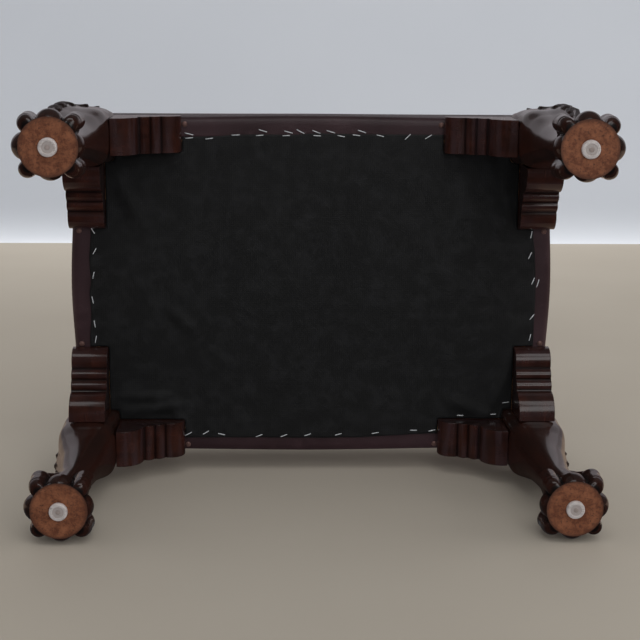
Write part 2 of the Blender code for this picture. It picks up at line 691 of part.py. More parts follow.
def bracket_profile():
    """(distance from the bracket's free end, depth) round the moulded lower edge."""
    quirk = BEAD_BULGE / 2
    points = [(0, 0), *lobe((0, END_LIP), (END_LOBE_ROUND, END_LOBE_DEPTH), 5)]
    at, depth = END_LOBE_LENGTH, END_LOBE_DEPTH
    points.append((at - quirk, depth))
    for _ in range(2):
        end = (at + BEAD_LENGTH, depth + BEAD_STEP)
        points += bead((at, depth - quirk), (end[0], end[1] - quirk), BEAD_BULGE + quirk, 4)
        at, depth = end
    points += lobe((at + quirk, depth), (BRACKET_LENGTH - FOOT_LOBE_FLAT, BRACKET_DEPTH), 6)
    return [*points, (BRACKET_LENGTH, BRACKET_DEPTH - quirk), (BRACKET_LENGTH, 0)]


def bracket():
    """A moulded bracket, from the leg at the origin along +X, hanging from its top face."""
    half = BRACKET_THICKNESS / 2
    outline = [(BRACKET_LENGTH - at, -depth) for at, depth in bracket_profile()]
    body = loft([[(x, y, z) for x, z in outline] for y in (-half, half)])
    tenon = bracket_tenon(FIT, 0)
    tenon.transform(Matrix.Rotation(math.radians(180), 4, "Z"))
    return combined(body, [tenon], "UNION")


def build_brackets():
    """Two brackets beside each leg, tenoned into it."""
    mesh = bracket()
    across_y = HALF_WIDTH + BRACKET_PROUD - BRACKET_THICKNESS / 2
    across_x = HALF_LENGTH + BRACKET_PROUD - BRACKET_THICKNESS / 2
    from_x, from_y = HALF_LENGTH - LEG_BLOCK - FIT, HALF_WIDTH - LEG_BLOCK - FIT
    for corner, (sx, sy) in CORNERS.items():
        long_place = (sx * from_x, sy * across_y, LEG_TOP)
        short_place = (sx * across_x, sy * from_y, LEG_TOP)
        add(f"long_bracket_{corner}", mesh, MAHOGANY, long_place, 180 if sx > 0 else 0)
        add(f"short_bracket_{corner}", mesh, MAHOGANY, short_place, -90 * sy)


def dust_cover_outline():
    """The cloth's outline: inside the leather's edge, and cut back round each leg and its brackets."""
    free_x, free_y = HALF_LENGTH - BRACKET_END - 2 * FIT, HALF_WIDTH - BRACKET_END - 2 * FIT
    edge_x, edge_y = HALF_LENGTH - CAMBRIC_INSET, HALF_WIDTH - CAMBRIC_INSET
    behind = BRACKET_THICKNESS - BRACKET_PROUD + 2 * FIT
    back_x, back_y = HALF_LENGTH - behind, HALF_WIDTH - behind
    leg_x, leg_y = HALF_LENGTH - LEG_BLOCK - 2 * FIT, HALF_WIDTH - LEG_BLOCK - 2 * FIT
    notch = [(edge_x, free_y), (back_x, free_y), (back_x, leg_y), (leg_x + CAMBRIC_CLIP, leg_y)]
    notch += [(leg_x, leg_y + CAMBRIC_CLIP), (leg_x, back_y), (free_x, back_y), (free_x, edge_y)]
    outline = []
    for sx, sy in CORNERS.values():
        corner = [(sx * x, sy * y) for x, y in notch]
        outline += corner if sx == sy else reversed(corner)
    return outline


def build_underside():
    """The dust cover, and the tacks in the leather beside the brackets."""
    top = UNDERSIDE_HEIGHT - FIT
    add("dust_cover", prism(dust_cover_outline(), top - CAMBRIC, top), BLACK_CLOTH)
    arc = [math.radians(angle) for angle in (0, 35, 70)]
    tack = turned([(TACK_RADIUS * math.cos(a), -TACK_HEIGHT * math.sin(a)) for a in arc], SMALL_SIDES)
    along = BRACKET_END + FIT + TACK_RADIUS
    for corner, (sx, sy) in CORNERS.items():
        beside_long = (sx * (HALF_LENGTH - along), sy * (HALF_WIDTH - TACK_INSET), top)
        beside_short = (sx * (HALF_LENGTH - TACK_INSET), sy * (HALF_WIDTH - along), top)
        add(f"long_tack_{corner}", tack, BRONZE, beside_long)
        add(f"short_tack_{corner}", tack, BRONZE, beside_short)


def main():
    """Clears the scene and builds the ottoman."""
    for old in list(bpy.data.objects):
        bpy.data.objects.remove(old)
    build_frame()
    build_webbing()
    build_cover()
    build_legs()
    build_brackets()
    build_underside()


main()
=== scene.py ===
"""Looks of the ottoman: carved legs, moulded brackets, leather seat, dust cover and a plain studio.

Metres, +Z up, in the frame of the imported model: the floor is at z = 0 and the front of the seat faces -Y.
The photograph looks up at the underside of an ottoman that lies on its back side, so the camera is below
the seat and sees the studio floor behind the back.
"""

import json
import logging
from collections.abc import Iterable, Sequence
from dataclasses import dataclass
from enum import Enum
from math import cos, pi, radians, sin

import bmesh
import bpy
import numpy as np
from bpy.types import Node, NodeSocket, NodeTree, Object
from mathutils import Matrix, Vector

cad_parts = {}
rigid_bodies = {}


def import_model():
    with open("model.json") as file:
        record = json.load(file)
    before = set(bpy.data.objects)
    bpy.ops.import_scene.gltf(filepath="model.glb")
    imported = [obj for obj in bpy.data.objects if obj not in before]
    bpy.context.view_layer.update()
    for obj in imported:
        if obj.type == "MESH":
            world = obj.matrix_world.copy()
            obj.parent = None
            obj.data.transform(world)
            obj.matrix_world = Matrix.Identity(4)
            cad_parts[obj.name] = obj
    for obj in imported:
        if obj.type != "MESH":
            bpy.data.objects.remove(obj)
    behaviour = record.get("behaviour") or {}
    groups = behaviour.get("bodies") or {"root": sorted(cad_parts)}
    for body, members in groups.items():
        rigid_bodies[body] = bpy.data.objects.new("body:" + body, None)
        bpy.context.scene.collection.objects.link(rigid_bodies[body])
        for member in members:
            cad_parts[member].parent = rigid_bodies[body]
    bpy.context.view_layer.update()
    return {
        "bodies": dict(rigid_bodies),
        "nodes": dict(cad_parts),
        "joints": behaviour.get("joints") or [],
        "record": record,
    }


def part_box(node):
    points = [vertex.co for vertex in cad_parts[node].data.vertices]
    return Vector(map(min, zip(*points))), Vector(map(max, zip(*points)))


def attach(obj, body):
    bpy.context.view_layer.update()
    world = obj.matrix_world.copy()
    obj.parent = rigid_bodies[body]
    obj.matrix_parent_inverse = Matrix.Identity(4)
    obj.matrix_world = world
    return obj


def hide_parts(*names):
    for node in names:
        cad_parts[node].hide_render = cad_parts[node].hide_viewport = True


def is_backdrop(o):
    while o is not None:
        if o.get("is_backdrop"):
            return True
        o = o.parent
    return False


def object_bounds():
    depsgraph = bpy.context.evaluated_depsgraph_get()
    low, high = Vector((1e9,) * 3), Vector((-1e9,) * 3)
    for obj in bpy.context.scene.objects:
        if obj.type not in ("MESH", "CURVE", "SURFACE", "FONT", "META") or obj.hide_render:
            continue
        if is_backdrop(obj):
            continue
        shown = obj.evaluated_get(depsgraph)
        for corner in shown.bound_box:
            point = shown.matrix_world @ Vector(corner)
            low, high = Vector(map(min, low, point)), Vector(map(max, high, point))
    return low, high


LOG = logging.getLogger("ottoman")
MM = 0.001
FIT = 0.3 * MM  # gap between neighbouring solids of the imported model
BODY = "root"  # nothing on the ottoman moves
PATINA_AND_SHADE = "patina_and_shade"  # attribute of points: how much stain, wax or grime lies there, and on the mahogany also painted shade, from 0 to 1
SLANT = "slant"  # attribute of points: how far a staple is turned there
Array = np.ndarray
Pair = tuple[float, float]  # two measures, such as an inset and a height
Hem = tuple[Pair, ...]  # in mm: (place along a side, how far in the cloth's edge lies there)


class Corner(Enum):
    """Corners of the ottoman, by the signs of X and Y."""

    BACK_RIGHT = (1, 1)
    BACK_LEFT = (-1, 1)
    FRONT_LEFT = (-1, -1)
    FRONT_RIGHT = (1, -1)

    @property
    def label(self) -> str:
        """The corner's name in the names of nodes."""
        return self.name.lower()


class Grain(Enum):
    """The axis that a timber's grain follows."""

    X = 0
    Y = 1
    Z = 2

    def stretched(self, width: float, length: float) -> tuple[float, ...]:
        """Sizes along X, Y and Z of a pattern that is drawn out along the axis."""
        return tuple(length if axis == self.value else width for axis in range(3))


def linear(colour: str) -> tuple[float, float, float, float]:
    """Turns an sRGB hex colour to linear light.

    Args:
        colour: The colour as "#RRGGBB".

    Returns:
        Linear red, green, blue and an alpha of 1.
    """
    parts = [int(colour[k:k + 2], 16) / 255 for k in (1, 3, 5)]
    return (*(p / 12.92 if p <= 0.04045 else ((p + 0.055) / 1.055) ** 2.4 for p in parts), 1.0)


def set_inputs(tree: NodeTree, node: Node, inputs: dict) -> None:
    """Sets a node's inputs.

    Args:
        tree: The node's tree.
        node: The node.
        inputs: A value, or a socket to link from, for inputs by name or index.
    """
    for key, value in inputs.items():
        if isinstance(value, NodeSocket):
            tree.links.new(value, node.inputs[key])
        else:
            node.inputs[key].default_value = value


def add_node(tree: NodeTree, kind: str, inputs: dict | None = None, **settings) -> Node:
    """Adds a node with its settings, input values and links.

    Args:
        tree: The tree that takes the node.
        kind: The node's type.
        inputs: A value, or a socket to link from, for inputs by name or index.
        settings: Attributes of the node.

    Returns:
        The new node.
    """
    node = tree.nodes.new(kind)
    for name, value in settings.items():
        setattr(node, name, value)
    set_inputs(tree, node, inputs or {})
    return node


def smooth_through(places: Sequence[float], values: Sequence[float], at: Array) -> Array:
    """Reads a smooth curve through given values that doesn't overshoot them.

    Args:
        places: Where the values are, rising.
        values: The values there.
        at: Where the curve is read.

    Returns:
        The curve's values, in the shape of at.
    """
    x, y = np.asarray(places, float), np.asarray(values, float)
    step = np.diff(x)
    slope = np.diff(y) / step
    same_way = slope[:-1] * slope[1:] > 0
    total = np.where(same_way, slope[:-1] + slope[1:], 1.0)
    tangent = np.zeros_like(y)
    tangent[1:-1] = np.where(same_way, 2 * slope[:-1] * slope[1:] / total, 0.0)
    at = np.clip(at, x[0], x[-1])
    k = np.clip(np.searchsorted(x, at, side="right") - 1, 0, len(step) - 1)
    t = (at - x[k]) / step[k]
    low = (1 + 2 * t) * (1 - t) ** 2 * y[k] + t * (1 - t) ** 2 * step[k] * tangent[k]
    return low + t * t * (3 - 2 * t) * y[k + 1] + t * t * (t - 1) * step[k] * tangent[k + 1]


def ease(values: Array, low: float, high: float) -> Array:
    """Rises smoothly from 0 at low to 1 at high."""
    share = np.clip((values - low) / (high - low), 0.0, 1.0)
    return share * share * (3 - 2 * share)


def round_reach(middle: Array, half: Array, angle: Array) -> Array:
    """How far a ray from an axis reaches in a rod beside it.

    Args:
        middle: Distance of the rod's middle from the axis.
        half: The rod's radius.
        angle: Angle between the ray and the rod's direction.

    Returns:
        Distance of the rod's far side along the ray, 0 where the ray misses it.
    """
    aside = middle * np.sin(angle)
    far = middle * np.cos(angle) + np.sqrt(np.maximum(half ** 2 - aside ** 2, 0.0))
    return np.where(np.abs(aside) < half, far, 0.0)


def ring_faces(rows: int, columns: int) -> Array:
    """Four-sided faces between rings of points that run anticlockwise, from the lowest ring up.

    Args:
        rows: How many rings there are.
        columns: How many points a ring has.

    Returns:
        Indices of each face's corners, turned outwards.
    """
    base = np.arange(rows - 1)[:, None] * columns
    here = np.arange(columns)[None, :]
    after = (here + 1) % columns
    corners = [base + here, base + after, base + columns + after, base + columns + here]
    return np.stack(corners, axis=-1).reshape(-1, 4)


def grid_faces(rows: int, columns: int) -> Array:
    """Four-sided faces of a grid of points, turned up where its rows follow X and its columns Y."""
    here = np.arange(rows * columns).reshape(rows, columns)[:-1, :-1].reshape(-1)
    return np.stack([here, here + columns, here + columns + 1, here + 1], axis=-1)


def new_piece(name: str, points: Iterable, faces: Iterable = (), finishes: Sequence["Finish"] = (),
              sharp: float | None = None, edges: Sequence = ()) -> Object:
    """Makes a smooth-shaded mesh object at the origin.

    Args:
        name: The piece's name.
        points: Its corners, in metres.
        faces: Indices of the corners of each face.
        finishes: Its finishes, in the order of its material slots.
        sharp: Edges with a greater angle, in degrees, stay sharp.
        edges: Indices of the ends of loose edges.

    Returns:
        The object, linked to the scene.
    """
    mesh = bpy.data.meshes.new(name)
    mesh.from_pydata(np.asarray(points).tolist(), edges, [list(map(int, face)) for face in faces])
    for finish in finishes:
        mesh.materials.append(finish.material())
    mesh.shade_smooth()
    if sharp is not None:
        mesh.set_sharp_from_angle(angle=radians(sharp))
    piece = bpy.data.objects.new(name, mesh)
    bpy.context.scene.collection.objects.link(piece)
    return piece


def modify(piece: Object, name: str, kind: str, **settings) -> None:
    """Adds a modifier to a piece.

    Args:
        piece: The piece.
        name: The modifier's name.
        kind: Its type.
        settings: Its attributes.
    """
    modifier = piece.modifiers.new(name, kind)
    for key, value in settings.items():
        setattr(modifier, key, value)


def face_outwards(piece: Object) -> None:
    """Turns the faces of a closed mesh outwards.

    Args:
        piece: The mesh's object.
    """
    bm = bmesh.new()
    bm.from_mesh(piece.data)
    bmesh.ops.recalc_face_normals(bm, faces=bm.faces)
    bm.to_mesh(piece.data)
    bm.free()


def mark(piece: Object, name: str, values: Array) -> None:
    """Keeps a value for each point of a piece, under a name."""
    attribute = piece.data.attributes.new(name, "FLOAT", "POINT")
    attribute.data.foreach_set("value", np.asarray(values, dtype=np.float32).reshape(-1))


def fit(piece: Object, slot: str, *nodes: str) -> None:
    """Sets a piece on the ottoman's body.

    Args:
        piece: The piece.
        slot: The record's material slot; not used.
        nodes: The nodes that the piece stands for.
    """
    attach(piece, BODY)
    if nodes:
        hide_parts(*nodes)
    LOG.info("%s: %d faces", piece.name, len(piece.data.polygons))


def new_tree(name: str, sizes: Iterable[str]) -> tuple[NodeTree, Node]:
    """Starts a Geometry Nodes tree.

    Args:
        name: The tree's name.
        sizes: Names of its inputs for sizes.

    Returns:
        The tree and its input node.
    """
    tree = bpy.data.node_groups.new(name, "GeometryNodeTree")
    tree.interface.new_socket("Geometry", in_out="INPUT", socket_type="NodeSocketGeometry")
    for size in sizes:
        tree.interface.new_socket(size, in_out="INPUT", socket_type="NodeSocketFloat")
    tree.interface.new_socket("Geometry", in_out="OUTPUT", socket_type="NodeSocketGeometry")
    return tree, add_node(tree, "NodeGroupInput")


def grow(piece: Object, shape: NodeSocket, finish: "Finish", sizes: dict[str, float]) -> None:
    """Ends a Geometry Nodes tree, runs it on a piece and keeps the result as its plain mesh.

    Args:
        piece: The object that the tree starts from.
        shape: The geometry that the tree has made so far.
        finish: The finish of the result.
        sizes: Values for the tree's inputs, by name.
    """
    tree = shape.id_data
    real = add_node(tree, "GeometryNodeRealizeInstances", {0: shape})
    smooth = add_node(tree, "GeometryNodeSetShadeSmooth", {0: real.outputs[0]})
    dressed = add_node(tree, "GeometryNodeSetMaterial", {0: smooth.outputs[0], "Material": finish.material()})
    add_node(tree, "NodeGroupOutput", {0: dressed.outputs[0]})
    modifier = piece.modifiers.new(tree.name, "NODES")
    modifier.node_group = tree
    for item in tree.interface.items_tree:
        if item.name in sizes:
            modifier[item.identifier] = sizes[item.name]
    graph = bpy.context.evaluated_depsgraph_get()
    mesh = bpy.data.meshes.new_from_object(piece.evaluated_get(graph))
    piece.modifiers.clear()
    piece.data = mesh


@dataclass(frozen=True)
class Finish:
    """A finish: a named procedural material, made on first use."""

    name: str

    def material(self) -> bpy.types.Material:
        """Finds or makes the finish's material.

        Returns:
            The material.
        """
        known = bpy.data.materials.get(self.name)
        if known:
            return known
        material = bpy.data.materials.new(self.name)
        material.use_nodes = True
        tree = material.node_tree
        self.paint(tree, tree.nodes["Principled BSDF"])
        return material

    def paint(self, tree: NodeTree, shader: Node) -> None:
        """Builds the finish's nodes.

        Args:
            tree: The material's tree.
            shader: Its Principled BSDF.
        """
        raise NotImplementedError

    def speckled(self, tree: NodeTree, size: float | tuple[float, ...], detail: float,
                 roughness: float = 0.5, turn: float = 0.0) -> NodeSocket:
        """Spreads a noise over the piece.

        Args:
            tree: The material's tree.
            size: Size of its blotches in metres, or their sizes along X, Y and Z.
            detail: How many finer noises it has.
            roughness: How strong those are.
            turn: How far the noise is turned about Z, in radians.

        Returns:
            The noise, from 0 to 1.
        """
        place = add_node(tree, "ShaderNodeTexCoord").outputs["Object"]
        scale = 1 / np.broadcast_to(size, 3)
        spot = add_node(tree, "ShaderNodeMapping",
                        {"Vector": place, "Rotation": (0.0, 0.0, turn), "Scale": tuple(scale)})
        noise = add_node(tree, "ShaderNodeTexNoise",
                         {"Vector": spot.outputs[0], "Scale": 1.0, "Detail": detail, "Roughness": roughness})
        return noise.outputs[0]

    def laid(self, tree: NodeTree, under: str | NodeSocket, over: str, where: NodeSocket,
             low: float = 0.0, high: float = 1.0, most: float = 1.0) -> NodeSocket:
        """Lays one colour over another where a pattern is strong.

        Args:
            tree: The material's tree.
            under: The colour below: a hex value, or what is laid so far.
            over: The hex colour on top.
            where: The pattern.
            low: The pattern's value where the upper colour starts to show.
            high: Its value where that colour shows most.
            most: How much of it shows there.

        Returns:
            The laid colours.
        """
        share = add_node(tree, "ShaderNodeMapRange",
                         {"Value": where, "From Min": low, "From Max": high, "To Max": most})
        below = linear(under) if isinstance(under, str) else under
        mixed = add_node(tree, "ShaderNodeMix", {0: share.outputs[0], 6: below, 7: linear(over)},
                         data_type="RGBA")
        return mixed.outputs[2]

    def surfaced(self, tree: NodeTree, shader: Node, height: NodeSocket,
                 relief: float, strength: float, inputs: dict) -> None:
        """Gives the shader a relief, and its other inputs.

        Args:
            tree: The material's tree.
            shader: Its Principled BSDF.
            height: The pattern that stands out.
            relief: How far it stands out, in metres.
            strength: How strongly that shows.
            inputs: A value, or a socket to link from, for the shader's inputs by name.
        """
        bump = add_node(tree, "ShaderNodeBump", {"Height": height, "Distance": relief, "Strength": strength})
        set_inputs(tree, shader, {"Normal": bump.outputs[0], **inputs})


@dataclass(frozen=True)
class PolishedMahogany(Finish):
    """French-polished mahogany: fine dark pores and ribbon figure under a thin, glossy film of shellac.

    Stain, old wax and painted shade darken the hollows and quirks, and the wax has bloomed on the mouldings.
    """

    grain: Grain = Grain.Z
    stain: str = "#2C1712"
    dark: str = "#180C0A"
    warm: str = "#3B1D15"
    # laid in the hollows and quirks: partly wax, partly painted shade
    hollow: str = "#090505"
    fibre: Pair = (1.6 * MM, 45 * MM)  # width and length, as are the next three
    ribbon: Pair = (16 * MM, 150 * MM)
    pore: Pair = (0.5 * MM, 5 * MM)  # about twice as wide as real pores, to show at all
    haze: Pair = (9 * MM, 70 * MM)
    relief: float = 0.03 * MM
    film: float = 0.75
    gloss: float = 0.24
    dull: float = 0.5
    shine: float = 0.3
    planed: Grain = Grain.Z  # the way that the moulding plane ran, which the wax's bloom follows
    bloom: str = "#36282A"
    bloom_share: float = 0.0

    def paint(self, tree: NodeTree, shader: Node) -> None:
        """Builds ribbons, fibres, pores, bloom, wax and painted shade in the hollows, and the gloss of the
        polish.

        Args:
            tree: The material's tree.
            shader: Its Principled BSDF.
        """
        ribbon = self.speckled(tree, self.grain.stretched(*self.ribbon), detail=3.0, roughness=0.55)
        fibre = self.speckled(tree, self.grain.stretched(*self.fibre), detail=5.0, roughness=0.55)
        pore = self.speckled(tree, self.grain.stretched(*self.pore), detail=1.0, roughness=0.55)
        haze = self.speckled(tree, self.planed.stretched(*self.haze), detail=1.0, roughness=0.55)
        # how dark the hollows and quirks are: partly wax, partly painted shade
        wax = add_node(tree, "ShaderNodeAttribute", attribute_name=PATINA_AND_SHADE).outputs["Fac"]
        colour = self.laid(tree, self.stain, self.warm, ribbon, low=0.36, high=0.66)
        colour = self.laid(tree, colour, self.dark, fibre, low=0.42, high=0.72, most=0.6)
        colour = self.laid(tree, colour, self.dark, pore, low=0.6, high=0.75, most=0.4)
        colour = self.laid(tree, colour, self.bloom, haze, low=0.4, high=0.7, most=self.bloom_share)
        colour = self.laid(tree, colour, self.hollow, wax)
        rough = add_node(tree, "ShaderNodeMapRange",
                         {"Value": wax, "To Min": self.gloss, "To Max": self.dull})
        sunk = add_node(tree, "ShaderNodeMapRange",
                        {"Value": pore, "From Min": 0.6, "From Max": 0.75, "To Max": 0.4})
        height = add_node(tree, "ShaderNodeMath", {0: fibre, 1: sunk.outputs[0]}, operation="SUBTRACT")
        self.surfaced(tree, shader, height.outputs[0], self.relief, 0.6, {
            "Base Color": colour, "Roughness": rough.outputs[0], "IOR": 1.5, "Specular IOR Level": self.shine,
            "Coat Weight": self.film, "Coat Roughness": 0.12, "Coat IOR": 1.52})


@dataclass(frozen=True)
class BareEndGrain(Finish):
    """Sawn end grain of mahogany under the foot: open pores, a little dust, stain bled in from the rim."""

    timber: str = "#5E3119"
    dusty: str = "#845033"
    pore: str = "#2E170C"
    rim: str = "#452516"
    pore_gap: float = 2.4 * MM
    blotch: float = 9 * MM
    relief: float = 0.12 * MM

    def paint(self, tree: NodeTree, shader: Node) -> None:
        """Builds blotches, pores and the stained rim.

        Args:
            tree: The material's tree.
            shader: Its Principled BSDF.
        """
        blotches = self.speckled(tree, self.blotch, detail=5.0, roughness=0.75)
        pores = self.speckled(tree, self.pore_gap, detail=2.0, roughness=0.7)
        stain = add_node(tree, "ShaderNodeAttribute", attribute_name=PATINA_AND_SHADE).outputs["Fac"]
        colour = self.laid(tree, self.timber, self.dusty, blotches, low=0.4, high=0.62)
        colour = self.laid(tree, colour, self.pore, pores, low=0.54, high=0.74, most=0.8)
        colour = self.laid(tree, colour, self.rim, stain)
        self.surfaced(tree, shader, pores, self.relief, 0.7, {"Base Color": colour, "Roughness": 0.72})


@dataclass(frozen=True)
class PlumHide(Finish):
    """Pigmented cowhide, plum brown: pebbled grain with paler tops, a soft waxy sheen and scuffed creases."""

    body: str = "#392529"
    shade: str = "#2B1A1D"
    scuff: str = "#503B3E"
    pebble: float = 1.9 * MM  # real grain is nearer 1 mm, which would not show
    bend: float = 0.0016  # share of a noise in the pebbles' places, which makes them uneven
    crease: float = 17 * MM
    cloud: float = 90 * MM
    relief: float = 0.16 * MM

    def paint(self, tree: NodeTree, shader: Node) -> None:
        """Builds the pebbled grain, clouds of colour and rubbed tops.

        Args:
            tree: The material's tree.
            shader: Its Principled BSDF.
        """
        place = add_node(tree, "ShaderNodeTexCoord").outputs["Object"]
        warp = add_node(tree, "ShaderNodeTexNoise",
                        {"Vector": place, "Scale": 1 / (3 * self.pebble), "Detail": 2.0})
        bent = add_node(tree, "ShaderNodeMix", {0: self.bend, 4: place, 5: warp.outputs[1]},
                        data_type="VECTOR")
        cells = add_node(tree, "ShaderNodeTexVoronoi",
                         {"Vector": bent.outputs[1], "Scale": 1 / self.pebble}, feature="DISTANCE_TO_EDGE")
        tops = add_node(tree, "ShaderNodeMapRange", {"Value": cells.outputs["Distance"], "From Max": 0.3})
        cloud = self.speckled(tree, self.cloud, detail=5.0, roughness=0.6)
        crease = self.speckled(tree, self.crease, detail=4.0, roughness=0.55)
        worn = add_node(tree, "ShaderNodeMapRange",
                        {"Value": crease, "From Min": 0.55, "From Max": 0.75, "To Max": 0.5})
        rubbed = add_node(tree, "ShaderNodeMath", {0: worn.outputs[0], 1: tops.outputs[0]},
                          operation="MULTIPLY")
        colour = self.laid(tree, self.shade, self.body, cloud, low=0.35, high=0.68)
        colour = self.laid(tree, colour, self.scuff, rubbed.outputs[0])
        gloss = add_node(tree, "ShaderNodeMapRange",
                         {"Value": tops.outputs[0], "To Min": 0.55, "To Max": 0.38})
        deep = add_node(tree, "ShaderNodeMath", {0: crease, 1: 1.5, 2: tops.outputs[0]},
                        operation="MULTIPLY_ADD")
        self.surfaced(tree, shader, deep.outputs[0], self.relief, 0.55, {
            "Base Color": colour, "Roughness": gloss.outputs[0], "Coat Weight": 0.12, "Coat Roughness": 0.3})


@dataclass(frozen=True)
class Weave(Finish):
    """A plain-woven cloth: two sets of threads that pass over each other, uneven in thickness."""

    thread: str = "#191919"
    gap: str = "#0D0D0E"
    slub: str = "#28282A"
    pitch: float = 1.3 * MM
    uneven: float = 16 * MM
    relief: float = 0.2 * MM
    roughness: float = 0.6
    sheen: float = 0.02
    lustre: float = 0.45

    def paint(self, tree: NodeTree, shader: Node) -> None:
        """Builds the two sets of threads, thick and thin places and a soft sheen.

        Args:
            tree: The material's tree.
            shader: Its Principled BSDF.
        """
        place = add_node(tree, "ShaderNodeTexCoord").outputs["Object"]
        split = add_node(tree, "ShaderNodeSeparateXYZ", {0: place})
        threads = []
        for axis, other in ((0, 1), (1, 0)):
            turns = add_node(tree, "ShaderNodeMath", operation="MULTIPLY",
                             inputs={0: split.outputs[axis], 1: 2 * pi / self.pitch})
            wave = add_node(tree, "ShaderNodeMath", {0: turns.outputs[0]}, operation="SINE")
            over = add_node(tree, "ShaderNodeMath", operation="MULTIPLY_ADD",
                            inputs={0: split.outputs[other], 1: pi / self.pitch, 2: axis * pi / 2})
            rise = add_node(tree, "ShaderNodeMath", {0: over.outputs[0]}, operation="SINE")
            half = add_node(tree, "ShaderNodeMath", {0: rise.outputs[0], 1: 0.5, 2: wave.outputs[0]},
                            operation="MULTIPLY_ADD")
            threads.append(half.outputs[0])
        upper = add_node(tree, "ShaderNodeMath", {0: threads[0], 1: threads[1]}, operation="MAXIMUM")
        cloth = upper.outputs[0]
        thick = self.speckled(tree, self.uneven, detail=5.0, roughness=0.6)
        colour = self.laid(tree, self.gap, self.thread, cloth, low=-0.2, high=1.1)
        colour = self.laid(tree, colour, self.slub, thick, low=0.45, high=0.75, most=0.4)
        self.surfaced(tree, shader, cloth, self.relief, 0.5, {
            "Base Color": colour, "Roughness": self.roughness, "Sheen Weight": self.sheen,
            "Specular IOR Level": self.lustre})


@dataclass(frozen=True)
class MouldedNylon(Finish):
    """Moulded white nylon, used: slightly see-through, scratched by floors and grey in the scratches."""

    body: str = "#BFB6B2"
    grime: str = "#82766F"
    scratch: Pair = (0.9 * MM, 9 * MM)  # width and length
    slant: float = 0.6
    blotch: float = 7 * MM
    relief: float = 0.05 * MM
    glow: tuple[float, float, float] = (1.5 * MM, 1.2 * MM, 1.0 * MM)

    def paint(self, tree: NodeTree, shader: Node) -> None:
        """Builds scratches and grime in pale nylon.

        Args:
            tree: The material's tree.
            shader: Its Principled BSDF.
        """
        scratch = self.speckled(tree, Grain.X.stretched(*self.scratch), detail=3.0, turn=self.slant)
        blotch = self.speckled(tree, self.blotch, detail=3.0)
        dirt = add_node(tree, "ShaderNodeMath", {0: scratch, 1: blotch}, operation="MULTIPLY")
        worn = add_node(tree, "ShaderNodeMapRange",
                        {"Value": dirt.outputs[0], "From Min": 0.24, "From Max": 0.42, "To Max": 0.75})
        dish = add_node(tree, "ShaderNodeAttribute", attribute_name=PATINA_AND_SHADE).outputs["Fac"]
        share = add_node(tree, "ShaderNodeMath", {0: worn.outputs[0], 1: dish}, operation="MAXIMUM")
        colour = self.laid(tree, self.body, self.grime, share.outputs[0])
        self.surfaced(tree, shader, scratch, self.relief, 0.5, {
            "Base Color": colour, "Roughness": 0.42, "IOR": 1.53, "Subsurface Weight": 0.08,
            "Subsurface Radius": self.glow})


@dataclass(frozen=True)
class Metal(Finish):
    """A drawn or pressed metal, bright or toned, with fine die marks and stains."""

    bright: str = "#C9CACC"
    stain: str = "#8C8C8E"
    mark: float = 1.2 * MM
    roughness: float = 0.3
    metallic: float = 1.0
    worn: float = 0.2
    relief: float = 0.03 * MM

    def paint(self, tree: NodeTree, shader: Node) -> None:
        """Builds stains and marks on the metal.

        Args:
            tree: The material's tree.
            shader: Its Principled BSDF.
        """
        marks = self.speckled(tree, self.mark, detail=4.0, roughness=0.6)
        colour = self.laid(tree, self.bright, self.stain, marks, low=0.4, high=0.68)
        rough = add_node(tree, "ShaderNodeMapRange",
                         {"Value": marks, "From Min": 0.4, "From Max": 0.68,
                          "To Min": self.roughness, "To Max": self.roughness + self.worn})
        self.surfaced(tree, shader, marks, self.relief, 0.4, {
            "Base Color": colour, "Roughness": rough.outputs[0], "Metallic": self.metallic})


@dataclass(frozen=True)
class PlanedBeech(Finish):
    """Planed beech of the seat frame: pale pinkish wood with short brown flecks along the grain."""

    grain: Grain = Grain.X
    pale: str = "#C79E73"
    brown: str = "#A97C52"
    dark: str = "#7E5534"
    band: Pair = (12 * MM, 200 * MM)  # width and length, as are the flecks'
    fleck: Pair = (0.8 * MM, 4 * MM)
    relief: float = 0.05 * MM

    def paint(self, tree: NodeTree, shader: Node) -> None:
        """Builds growth bands and flecks.

        Args:
            tree: The material's tree.
            shader: Its Principled BSDF.
        """
        bands = self.speckled(tree, self.grain.stretched(*self.band), detail=3.0)
        flecks = self.speckled(tree, self.grain.stretched(*self.fleck), detail=3.0)
        colour = self.laid(tree, self.pale, self.brown, bands, low=0.35, high=0.65)
        colour = self.laid(tree, colour, self.dark, flecks, low=0.6, high=0.7, most=0.7)
        self.surfaced(tree, shader, flecks, self.relief, 0.4, {"Base Color": colour, "Roughness": 0.6})


@dataclass(frozen=True)
class Stuffing(Finish):
    """Foam or felted cotton inside the seat: pale and matt, full of cells or tangled fibres."""

    pale: str = "#E4D9A8"
    shade: str = "#C9B97F"
    cell: float = 2.5 * MM
    relief: float = 0.5 * MM

    def paint(self, tree: NodeTree, shader: Node) -> None:
        """Builds cells of two tones with a rough surface.

        Args:
            tree: The material's tree.
            shader: Its Principled BSDF.
        """
        place = add_node(tree, "ShaderNodeTexCoord").outputs["Object"]
        cells = add_node(tree, "ShaderNodeTexVoronoi", {"Vector": place, "Scale": 1 / self.cell})
        cloud = self.speckled(tree, 8 * self.cell, detail=5.0)
        mixed = add_node(tree, "ShaderNodeMath", {0: cells.outputs["Distance"], 1: cloud},
                         operation="MULTIPLY").outputs[0]
        colour = self.laid(tree, self.shade, self.pale, mixed, high=0.5)
        self.surfaced(tree, shader, mixed, self.relief, 0.6, {"Base Color": colour, "Roughness": 0.95})


